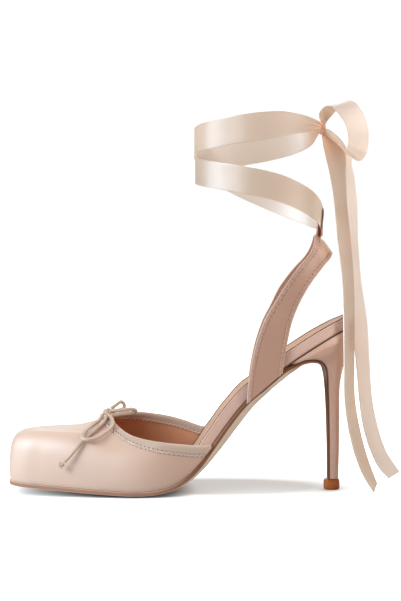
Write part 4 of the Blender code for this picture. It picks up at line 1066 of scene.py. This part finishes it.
def make_outsole():
    """Leather sole with a dye on its cut edge; behind, it turns down the breast of the heel."""
    belly = np.array(SOLE_BELLY)
    xs = stations(TOE_FRONT[0] + 0.25, FLAP_START, SOLE_SECTIONS)
    shape = smooth(belly[:, 0], belly[:, 1:], xs)
    y_out, y_in = side_y(xs, 0.0)
    spine = np.column_stack([xs, bed_height(xs) - GAP, y_out + shape[:, 1], y_in - shape[:, 1], shape[:, 0],
                             np.full(len(xs), SOLE_EDGE)])
    flap = np.array(FLAP)
    half = flap[:, 2] + FLAP_PROUD
    rows = np.column_stack([flap[:, 0], flap[:, 1], -half, half, flap[:, 4], flap[:, 3]])
    flap_line = np.vstack([spine[-1], rows])
    distance = along(flap_line[:, [0, 1, 1]])
    fine = smooth(distance, flap_line, np.linspace(0.0, distance[-1], FLAP_SECTIONS))[1:]
    spine = np.vstack([spine, fine])
    line = np.stack([spine[:, 0], np.zeros(len(spine)), spine[:, 1]], axis=1)
    forward = unit(np.gradient(line, along(line), axis=0))
    down = np.stack([forward[:, 2], np.zeros(len(spine)), -forward[:, 0]], axis=1)
    across = np.linspace(-1.0, 1.0, SOLE_ACROSS)
    rings, cut = [], []
    for place, normal, (x, z, out, inner, depth, edge) in zip(line, down, spine):
        middle, half = (out + inner) / 2, (inner - out) / 2
        corner = min(SOLE_CORNER, 0.2 * half) / half
        # The section: share of the half width, depth, and 1 on the cut edge.
        section = [(share * (1 - corner if abs(share) == 1 else 1), 0.0, 0.0) for share in across]
        section += [(1.0, 0.25, 1.0), (1.0, edge * 0.5, 1.0), (1.0, edge - 0.45, 1.0)]
        section += [(share * (1 - corner), edge + depth * (1 - abs(share) ** BELLY_POWER), 0.0)
                    for share in across[::-1]]
        section += [(-1.0, edge - 0.45, 1.0), (-1.0, edge * 0.5, 1.0), (-1.0, 0.25, 1.0)]
        ring = []
        # The flap is dyed, save above the stem, where a painted reflection lightens its face in place of
        # part of the dye.
        dye_less_painted_reflection = float(ease(FLAP_START, FLAP_START + FLAP_DYE_REACH, x)
                     * (1 - FLAP_PAINTED_REFLECTION * ease(*FLAP_REFLECTION_HEIGHTS, z)))
        for share, under, side in section:
            point = place + normal * under + np.array([0.0, middle + half * share, 0.0])
            if x < 0.0:
                point[2] = max(point[2], 0.0)
            ring.append(point)
            cut.append(max(side, dye_less_painted_reflection))
        rings.append(ring)
    cut = np.array(cut).reshape(len(rings), -1)
    cut[0] = 1.0
    sole = make_loft("leather_outsole", rings, SOLE_LEATHER, tints={"edge": cut})
    place_piece(sole, "sole_leather", "outsole")


def make_insole():
    """The board's satin band, its piped edge, and the leather sock that lies in it."""
    at = np.linspace(0, OUTLINE_STEPS, INSOLE_SECTIONS + 1).astype(int)[:-1]
    inwards = outline_inwards()[at]
    edge = OUTLINE_POINTS[at]
    x = edge[:, 0] + inwards[:, 0] * INSOLE_INSET
    low, height = bed_height(x), insole_thickness(x)
    # The band's section: in from the band's face, share of its height.
    section = [(0.25, 0.02), (0.02, 0.07), (-0.22, 0.25), (-0.3, 0.5), (-0.22, 0.75), (0.0, 0.9),
               (0.35, 0.985), (0.9, 1.0), (2.0, 0.97), (2.0, 0.3), (1.2, 0.02)]
    rings = []
    for point, way, z, tall in zip(edge, inwards, low, height):
        rings.append([(*(point + way * (INSOLE_INSET + inset)), z + tall * share)
                      for inset, share in section])
    band = make_loft("insole_band", rings, BAND_SATIN_PAINTED_LIGHT, capped=False)
    place_piece(band, "rose_satin", "insole")
    # The piping's lighter satin is a painted highlight. The two dark cords are painted shade: in the groove
    # between the sock and the band, where the sock's edge is also burnished, and at the band's foot.
    for name, inset, lift, radius, material, slot in (
            ("insole_piping", 0.15, height - 0.35, 0.42, PIPING_SATIN_PAINTED_HIGHLIGHT, "rose_satin"),
            ("sock_edge_and_groove_shade", 0.70, height + 0.30, 0.34, BURNISHED_EDGE_AND_PAINTED_SHADE, "sole_leather"),
            ("insole_foot_shade_line", -0.30, 0.30, 0.40, BURNISHED_EDGE_AND_PAINTED_SHADE, "sole_leather")):
        line = np.column_stack([edge + inwards * (INSOLE_INSET + inset), low + lift])
        place_piece(closed_cord(name, line, radius, material, sides=8), slot)
    xs = stations(TOE_FRONT[0] + SOCK_INSET + 0.3, SEAT_BACK[0] - SOCK_INSET - 0.1, SOCK_SECTIONS,
                  crowding=1.0)
    y_out, y_in = side_y(xs, SOCK_INSET)
    across = np.linspace(-1.0, 1.0, SOCK_ACROSS)
    tall = insole_thickness(xs)
    cup = np.minimum(0.18 * tall, 1.6)[:, None] * (1 - across**2)[None, :]
    middle, half = (y_out + y_in) / 2, (y_in - y_out) / 2
    top = np.stack([np.broadcast_to(xs[:, None], cup.shape),
                    middle[:, None] + half[:, None] * across[None, :],
                    (bed_height(xs) + tall)[:, None] - cup + 0.15], axis=2)
    under = top - np.array([0.0, 0.0, 0.9])
    place_piece(make_wall("sock_lining", top, under, SOCK_LEATHER), "sock_leather")


def heel_ring(front, back, half_width, squareness, on_seat, count=72):
    """A D-shaped ring from its front point to its back point."""
    middle = ((front[0] + back[0]) / 2, (front[1] + back[1]) / 2)
    half = ((back[0] - front[0]) / 2, (back[1] - front[1]) / 2)
    ring = []
    for angle in np.linspace(0.0, 2 * math.pi, count, endpoint=False):
        power = 1.0 if math.cos(angle) > 0 else 2.0 / squareness
        reach = math.copysign(abs(math.cos(angle)) ** power, math.cos(angle))
        side = math.copysign(abs(math.sin(angle)) ** power, math.sin(angle))
        x = middle[0] + half[0] * reach
        z = middle[1] + half[1] * reach
        y = half_width * side
        if on_seat:
            z = float(bed_height(x)[0]) - GAP
            limit = float(side_y(np.array([x]), HEEL_INSET)[1][0])
            y = math.copysign(min(abs(y), limit), y)
        ring.append((x, y, z))
    return ring


def make_heel():
    """Satin drawn over the heel block, down to the stem."""
    flap = np.array([(row[0], 0.0, row[1]) for row in FLAP])
    forward = unit(np.gradient(flap, along(flap), axis=0))
    out = np.stack([-forward[:, 2], np.zeros(len(flap)), forward[:, 0]], axis=1)
    fronts = [(HEEL_START, float(bed_height(HEEL_START)[0]) - GAP)]
    fronts += [(point[0], point[2]) for point in (flap - out * HEEL_LET_IN)[1:]]
    rings = []
    for number, (front, row) in enumerate(zip(fronts, HEEL_RINGS)):
        rings.append(heel_ring(front, row[:2], row[2], row[3] * HEEL_FRONT_SQUARER, number == 0))
    rings = np.array(rings)
    places = np.linspace(0.0, len(rings) - 1.0, HEEL_SECTIONS)
    fine = smooth(np.arange(len(rings)), rings.reshape(len(rings), -1), places)
    fine = fine.reshape(HEEL_SECTIONS, -1, 3)
    place_piece(make_loft("heel_cover", fine, HEEL_SATIN_PAINTED_LIGHT), "rose_satin", "heel")


def make_heel_tip():
    """The tip's moulding: a D seen from below, with a rounded foot."""
    rings = []
    for height, grow in TIP_PROFILE:
        half = TIP_HALF + grow
        rings.append(heel_ring((TIP_MIDDLE - half, height), (TIP_MIDDLE + half, height), half,
                               TIP_SQUARENESS, False))
    place_piece(make_loft("heel_tip_moulding", rings, TIP_PLASTIC), "tip_plastic", "heel_tip")


# ---------------------------------------------------------------- upper

def throat_weight(rim):
    """1 at the front of the throat, where the cord gathers the casing, 0 behind the ball."""
    return 1 - ease(*THROAT_FADE, rim[:, 0])


def gather(s, weight):
    """The depth of the gathers at distance s along the topline."""
    wave = np.sin(2 * math.pi * s / GATHER_SPACING + 1.6 * np.sin(2 * math.pi * s / 13.0))
    swell = 0.65 + 0.35 * np.sin(2 * math.pi * s / 7.7)
    return wave * swell * (GATHER_REST + GATHER_DEPTH * weight)


def make_upper():
    """The vamp's satin and its leather lining, with soft folds that run out from the gathers."""
    grid = upper_grid(*UPPER_GRID)
    normals = face_normals(grid, (0.0, 0.0, 1.0))
    rim_s = along(grid[:, -1])
    weight = throat_weight(grid[:, -1])
    from_rim = np.cumsum(np.linalg.norm(np.diff(grid[:, ::-1], axis=1), axis=2), axis=1)
    from_rim = np.concatenate([np.zeros((len(grid), 1)), from_rim], axis=1)[:, ::-1]
    fold = np.sin(2 * math.pi * rim_s / FOLD_SPACING + 1.1 * np.sin(rim_s / 9.0))
    depth = (FOLD_DEPTH * weight * fold)[:, None] * np.exp(-from_rim / FOLD_REACH)
    roll = 0.5 * (1 - ease(0.0, 1.6, np.cumsum(
        np.linalg.norm(np.diff(grid, axis=1, prepend=grid[:, :1]), axis=2), axis=1)))
    outside = grid + normals * (depth - roll)[:, :, None]
    satin_wall, lining_wall = 0.9, 1.0
    place_piece(make_wall("vamp_satin", outside, grid - normals * satin_wall, BLUSH_SATIN),
                "blush_satin", "vamp")
    place_piece(make_wall("vamp_lining", grid - normals * lining_wall, grid - normals * UPPER_WALL,
                          LINING_LEATHER), "blush_satin")
    make_casing(grid, normals)


def casing_place(grid, normals, down, height):
    """The line at a distance down from the rim and a height over the satin, for each column."""
    line = []
    for column, out in zip(grid, normals):
        back = column[::-1]
        distance = along(back)
        if down >= 0:
            point = np.array([np.interp(down, distance, back[:, k]) for k in range(3)])
        else:
            below = np.array([np.interp(1.0, distance, back[:, k]) for k in range(3)])
            point = back[0] + unit(back[0] - below) * -down
        line.append(point + out[-1] * height)
    return np.array(line)


def make_casing(grid, normals):
    """The gathered band of satin over the topline, with its zigzag stitching outside and inside."""
    places = np.linspace(0.0, len(grid) - 1.0, CASING_SECTIONS)

    def spread(rows):
        """A row for each column of the upper, at the casing's closer places."""
        return smooth(np.arange(len(grid)), rows, places)

    rim = spread(grid[:, -1])
    out = unit(spread(normals[:, -1]))
    ripple = gather(along(rim), throat_weight(rim))
    lines = []
    for down, height in resample([(d, h, 0.0) for d, h in CASING_SECTION], CASING_ACROSS)[:, :2]:
        way = 1.0 if height > CASING_TURN else -1.0
        share = 1 - 0.75 * float(ease(3.0, CASING_WIDTH, down))
        lines.append(spread(casing_place(grid, normals, down, height))
                     + out * (ripple * way * share)[:, None])
    for down, height in CASING_HIDDEN:
        lines.append(spread(casing_place(grid, normals, down, height)))
    rings = np.array(lines).transpose(1, 0, 2)
    place_piece(make_loft("topline_casing", rings, CASING_SATIN_PAINTED_SHADE), "blush_satin")
    for name, face in (("outside", out[CASING_SEWN]), ("inside", -out[CASING_SEWN])):
        line = spread(casing_place(grid, normals, *CASING_SEAMS[name]))[CASING_SEWN]
        sew(f"casing_stitches_{name}", line, face, **CASING_ZIGZAG)
        sideways = unit(np.cross(np.gradient(line, axis=0), face)) * CASING_HOLES_ASIDE
        # Each needle hole is a short dark stitch: painted shade in the hole.
        for row, side, lift, radius in CASING_HOLES:
            sew(f"casing_needle_holes_{name}_{row}", line + (sideways * side + face * lift), face,
                CASING_HOLES_APART, radius * 2, radius, 0.0, NEEDLE_HOLE_PAINTED_SHADE)


# ---------------------------------------------------------------- sling

def sling_grid(along_count, across_count):
    """The sling's outer face and its normals, from the outer foot over the peak to the inner foot."""
    outer = resample(SLING, along_count)
    inner = outer[::-1][1:].copy()
    inner[:, 1] *= -1
    inner[:, 4] *= -1
    inner[:, 0] += SLING_INNER_BACK * (1.0 - ease(*SLING_BACK_FADES, inner[:, 2]))
    rows = np.vstack([outer, inner])
    middle = (rows[:, :3] + rows[:, 3:6]) / 2
    normal = unit(np.cross(np.gradient(middle, axis=0), rows[:, 3:6] - rows[:, :3]))
    if normal[len(rows) // 2][0] < 0:
        normal = -normal
    height = (middle[:, 2] - middle[0, 2]) / (middle[:, 2].max() - middle[0, 2])
    camber = SLING_CAMBER * np.clip(height, 0.0, 1.0) ** 2
    shares = np.linspace(0.0, 1.0, across_count)
    crown = camber[:, None] * (4 * shares * (1 - shares))[None, :]
    grid = rows[:, None, :3] + (rows[:, None, 3:6] - rows[:, None, :3]) * shares[None, :, None]
    return grid + normal[:, None, :] * crown[:, :, None], normal


def make_sling():
    """The satin strap with its lining, piped edges and zigzag rows along both edges."""
    grid, normal = sling_grid(SLING_SECTIONS, SLING_ACROSS)
    out = normal[:, None, :]
    shares = np.linspace(0.0, 1.0, grid.shape[1])
    from_edge = np.minimum(shares, 1 - shares)
    tuck = 0.45 * (1 - ease(0.0, 0.06, from_edge))[None, :, None]
    puff = 0.28 * (1 - ease(0.0, 0.16, from_edge))[None, :, None]
    outside = grid + out * (puff - tuck)
    satin_wall, lining_wall = 1.0, 1.1
    place_piece(make_wall("sling_satin", outside, grid - out * satin_wall, SLING_SATIN_PAINTED_SHADE),
                "rose_satin", "sling_strap")
    place_piece(make_wall("sling_lining", grid - out * lining_wall, grid - out * STRAP_WALL, STRAP_LINING_PAINTED_SHADE),
                "rose_satin")
    for name, column, beyond in (("front", 0, 1), ("rear", -1, -2)):
        edge = grid[:, column]
        past = unit(edge - grid[:, beyond])
        line = edge + past * 0.1 - normal * 0.8
        # The piping's lighter satin gives a painted highlight along the edge.
        rings = cord_rings(line, 0.32, sides=10)
        place_piece(make_loft(f"sling_piping_{name}", rings, PIPING_SATIN_PAINTED_HIGHLIGHT), "rose_satin")
        over_peak = np.exp(-(edge[:, 1:2] / 5.0) ** 2)
        row = edge - past * 1.9 + normal * (0.28 - 0.7 * over_peak)
        sew(f"sling_stitches_{name}", row, normal, **SLING_ZIGZAG, material=ROSE_THREAD)
        # The needle holes are short dark stitches: painted shade in the holes.
        holes = row - past * 0.75 - normal * 0.05
        sew(f"sling_needle_holes_{name}", holes, normal, **SLING_HOLES, material=BURNISHED_EDGE_AND_PAINTED_SHADE)


# ---------------------------------------------------------------- stitching

def stitch_tree():
    """Geometry nodes that lay slanted stitches along a line, turned to each side by turns."""
    tree = bpy.data.node_groups.new("stitch_row", "GeometryNodeTree")
    face = tree.interface
    face.new_socket(name="Line", in_out="INPUT", socket_type="NodeSocketGeometry")
    for title in ("Spacing", "Stitch length", "Thread radius", "Slant"):
        face.new_socket(name=title, in_out="INPUT", socket_type="NodeSocketFloat")
    face.new_socket(name="Thread", in_out="INPUT", socket_type="NodeSocketMaterial")
    face.new_socket(name="Stitches", in_out="OUTPUT", socket_type="NodeSocketGeometry")
    given = add_node(tree, "NodeGroupInput").outputs
    line = add_node(tree, "GeometryNodeMeshToCurve", {"Mesh": given["Line"]})
    spaced = add_node(tree, "GeometryNodeResampleCurve",
                      {"Curve": line.outputs[0], "Length": given["Spacing"]}, mode="LENGTH")
    out = add_node(tree, "GeometryNodeInputNamedAttribute", {"Name": "out"}, data_type="FLOAT_VECTOR")
    way = add_node(tree, "GeometryNodeInputNamedAttribute", {"Name": "way"}, data_type="FLOAT_VECTOR")
    stand = add_node(tree, "FunctionNodeAlignRotationToVector", {"Vector": out.outputs[0]}, axis="Z")
    lie = add_node(tree, "FunctionNodeAlignRotationToVector",
                   {"Rotation": stand.outputs[0], "Vector": way.outputs[0]}, axis="X", pivot_axis="Z")
    number = add_node(tree, "GeometryNodeInputIndex")
    odd = add_node(tree, "ShaderNodeMath", {0: number.outputs[0], 1: 2.0}, operation="MODULO")
    side = add_node(tree, "ShaderNodeMath", {0: odd.outputs[0], 1: 2.0, 2: -1.0}, operation="MULTIPLY_ADD")
    slant = add_node(tree, "ShaderNodeMath", {0: side.outputs[0], 1: given["Slant"]}, operation="MULTIPLY")
    turn = add_node(tree, "FunctionNodeAxisAngleToRotation",
                    {"Axis": (0.0, 0.0, 1.0), "Angle": slant.outputs[0]})
    lean = add_node(tree, "FunctionNodeRotateRotation",
                    {"Rotation": lie.outputs[0], "Rotate By": turn.outputs[0]}, rotation_space="LOCAL")
    ball = add_node(tree, "GeometryNodeMeshUVSphere", {"Segments": 6, "Rings": 5, "Radius": 1.0})
    half = add_node(tree, "ShaderNodeMath", {0: given["Stitch length"], 1: 0.5}, operation="MULTIPLY")
    size = add_node(tree, "ShaderNodeCombineXYZ",
                    {"X": half.outputs[0], "Y": given["Thread radius"], "Z": given["Thread radius"]})
    stitch = add_node(tree, "GeometryNodeTransform",
                      {"Geometry": ball.outputs[0], "Scale": size.outputs[0]})
    row = add_node(tree, "GeometryNodeInstanceOnPoints",
                   {"Points": spaced.outputs[0], "Instance": stitch.outputs[0],
                    "Rotation": lean.outputs[0]})
    real = add_node(tree, "GeometryNodeRealizeInstances", {"Geometry": row.outputs[0]})
    smoothed = add_node(tree, "GeometryNodeSetShadeSmooth", {"Geometry": real.outputs[0]})
    threaded = add_node(tree, "GeometryNodeSetMaterial",
                        {"Geometry": smoothed.outputs[0], "Material": given["Thread"]})
    add_node(tree, "NodeGroupOutput", {"Stitches": threaded.outputs[0]})
    return tree


STITCH_ROW = stitch_tree()


def sew(name, line, out, spacing, length, thread, slant, material=SEWING_THREAD):
    """A row of stitches along a line in millimetres, standing on the side that out points to."""
    mesh = bpy.data.meshes.new(name)
    mesh.from_pydata((line * MM).tolist(), [(k, k + 1) for k in range(len(line) - 1)], [])
    for title, vectors in (("out", out), ("way", unit(np.gradient(line, axis=0)))):
        made = mesh.attributes.new(title, "FLOAT_VECTOR", "POINT")
        made.data.foreach_set("vector", np.asarray(vectors, np.float32).ravel())
    guide = bpy.data.objects.new(name + "_guide", mesh)
    bpy.context.scene.collection.objects.link(guide)
    sewing = guide.modifiers.new("stitches", "NODES")
    sewing.node_group = STITCH_ROW
    values = {"Spacing": spacing * MM, "Stitch length": length * MM, "Thread radius": thread * MM,
              "Slant": math.radians(slant), "Thread": material}
    for item in STITCH_ROW.interface.items_tree:
        if item.name in values:
            sewing[item.identifier] = values[item.name]
    ready = guide.evaluated_get(bpy.context.evaluated_depsgraph_get())
    sewn = bpy.data.objects.new(name, bpy.data.meshes.new_from_object(ready))
    bpy.context.scene.collection.objects.link(sewn)
    bpy.data.objects.remove(guide)
    return place_piece(sewn, "cord_satin")


# ---------------------------------------------------------------- studio

def soft_light(name, place, aim, size, power, tint):
    data = bpy.data.lights.new(name, "AREA")
    data.shape = "RECTANGLE"
    data.size, data.size_y = size
    data.energy = power
    data.color = linear(tint)[:3]
    light = bpy.data.objects.new(name, data)
    light.location = place
    way = np.array(aim, float) - np.array(place, float)
    from_above = math.atan2(math.hypot(way[0], way[1]), -way[2])
    light.rotation_euler = (from_above, 0.0, math.atan2(way[1], way[0]) - math.pi / 2)
    bpy.context.scene.collection.objects.link(light)


def floor_paper():
    """White paper: the camera sees it run out to pure white, and only shade close to the shoe stays."""
    paper, tree, shader = new_material("floor_paper")
    place = add_node(tree, "ShaderNodeTexCoord")
    nearby = add_node(tree, "ShaderNodeMapping",
                      {"Vector": place.outputs["Object"], "Location": (-0.025, -0.022, 0.0),
                       "Scale": (1.0, 2.2, 0.0)})
    away = add_node(tree, "ShaderNodeVectorMath", {0: nearby.outputs["Vector"]}, operation="LENGTH")
    lift = add_node(tree, "ShaderNodeMapRange",
                    {"Value": away.outputs["Value"], "From Min": FLOOR_FADE[0],
                     "From Max": FLOOR_FADE[1], "To Min": FLOOR_LIFT, "To Max": FLOOR_WHITE})
    # Where the shoe shuts off the paper's surroundings its glow is dimmed: a painted contact shadow.
    painted_contact_shadow = add_node(tree, "ShaderNodeAmbientOcclusion", {"Distance": 0.008})
    ray = add_node(tree, "ShaderNodeLightPath")
    seen = add_node(tree, "ShaderNodeMath", {0: ray.outputs["Is Camera Ray"], 1: painted_contact_shadow.outputs["AO"]},
                    operation="MULTIPLY")
    glow = add_node(tree, "ShaderNodeMath", {0: seen.outputs[0], 1: lift.outputs[0]}, operation="MULTIPLY")
    fibres = add_node(tree, "ShaderNodeTexNoise", {"Vector": place.outputs["Object"], "Scale": 900.0})
    relief = add_node(tree, "ShaderNodeBump",
                      {"Height": fibres.outputs["Fac"], "Strength": 0.1, "Distance": 0.0001})
    set_sockets(tree, shader, {
        "Base Color": (0.5, 0.5, 0.5, 1.0), "Roughness": 0.9, "Specular IOR Level": 0.1,
        "Normal": relief.outputs[0], "Emission Color": (1.0, 1.0, 1.0, 1.0),
        "Emission Strength": glow.outputs[0]})
    return paper


def make_studio():
    """A pale floor that runs out to white, and soft boxes: the main one in front of the toe."""
    scene = bpy.context.scene
    scene.view_settings.view_transform = "Standard"
    world = bpy.data.worlds.new("studio")
    scene.world = world
    world.use_nodes = True
    tree = world.node_tree
    ray = add_node(tree, "ShaderNodeLightPath")
    strength = add_node(tree, "ShaderNodeMapRange",
                        {"Value": ray.outputs["Is Camera Ray"], "To Min": ROOM_LIGHT,
                         "To Max": BACKDROP_WHITE})
    warm = add_node(tree, "ShaderNodeMix", {0: ray.outputs["Is Camera Ray"], 6: linear(ROOM_TINT),
                                            7: (1.0, 1.0, 1.0, 1.0)}, data_type="RGBA")
    set_sockets(tree, tree.nodes["Background"],
                {"Color": warm.outputs[2], "Strength": strength.outputs[0]})
    mesh = bpy.data.meshes.new("floor")
    corners = [(FLOOR_REACH * x, FLOOR_REACH * y, 0) for x, y in ((-1, -1), (1, -1), (1, 1), (-1, 1))]
    mesh.from_pydata(corners, [], [(0, 1, 2, 3)])
    floor = bpy.data.objects.new("floor", mesh)
    scene.collection.objects.link(floor)
    mesh.materials.append(floor_paper())
    for light in LIGHTS:
        soft_light(*light)


make_camera()
make_throat_cords()
make_ribbon_ends()
make_ankle_ribbon()
make_keeper()
make_outsole()
make_insole()
make_heel()
make_heel_tip()
make_upper()
make_sling()
make_studio()
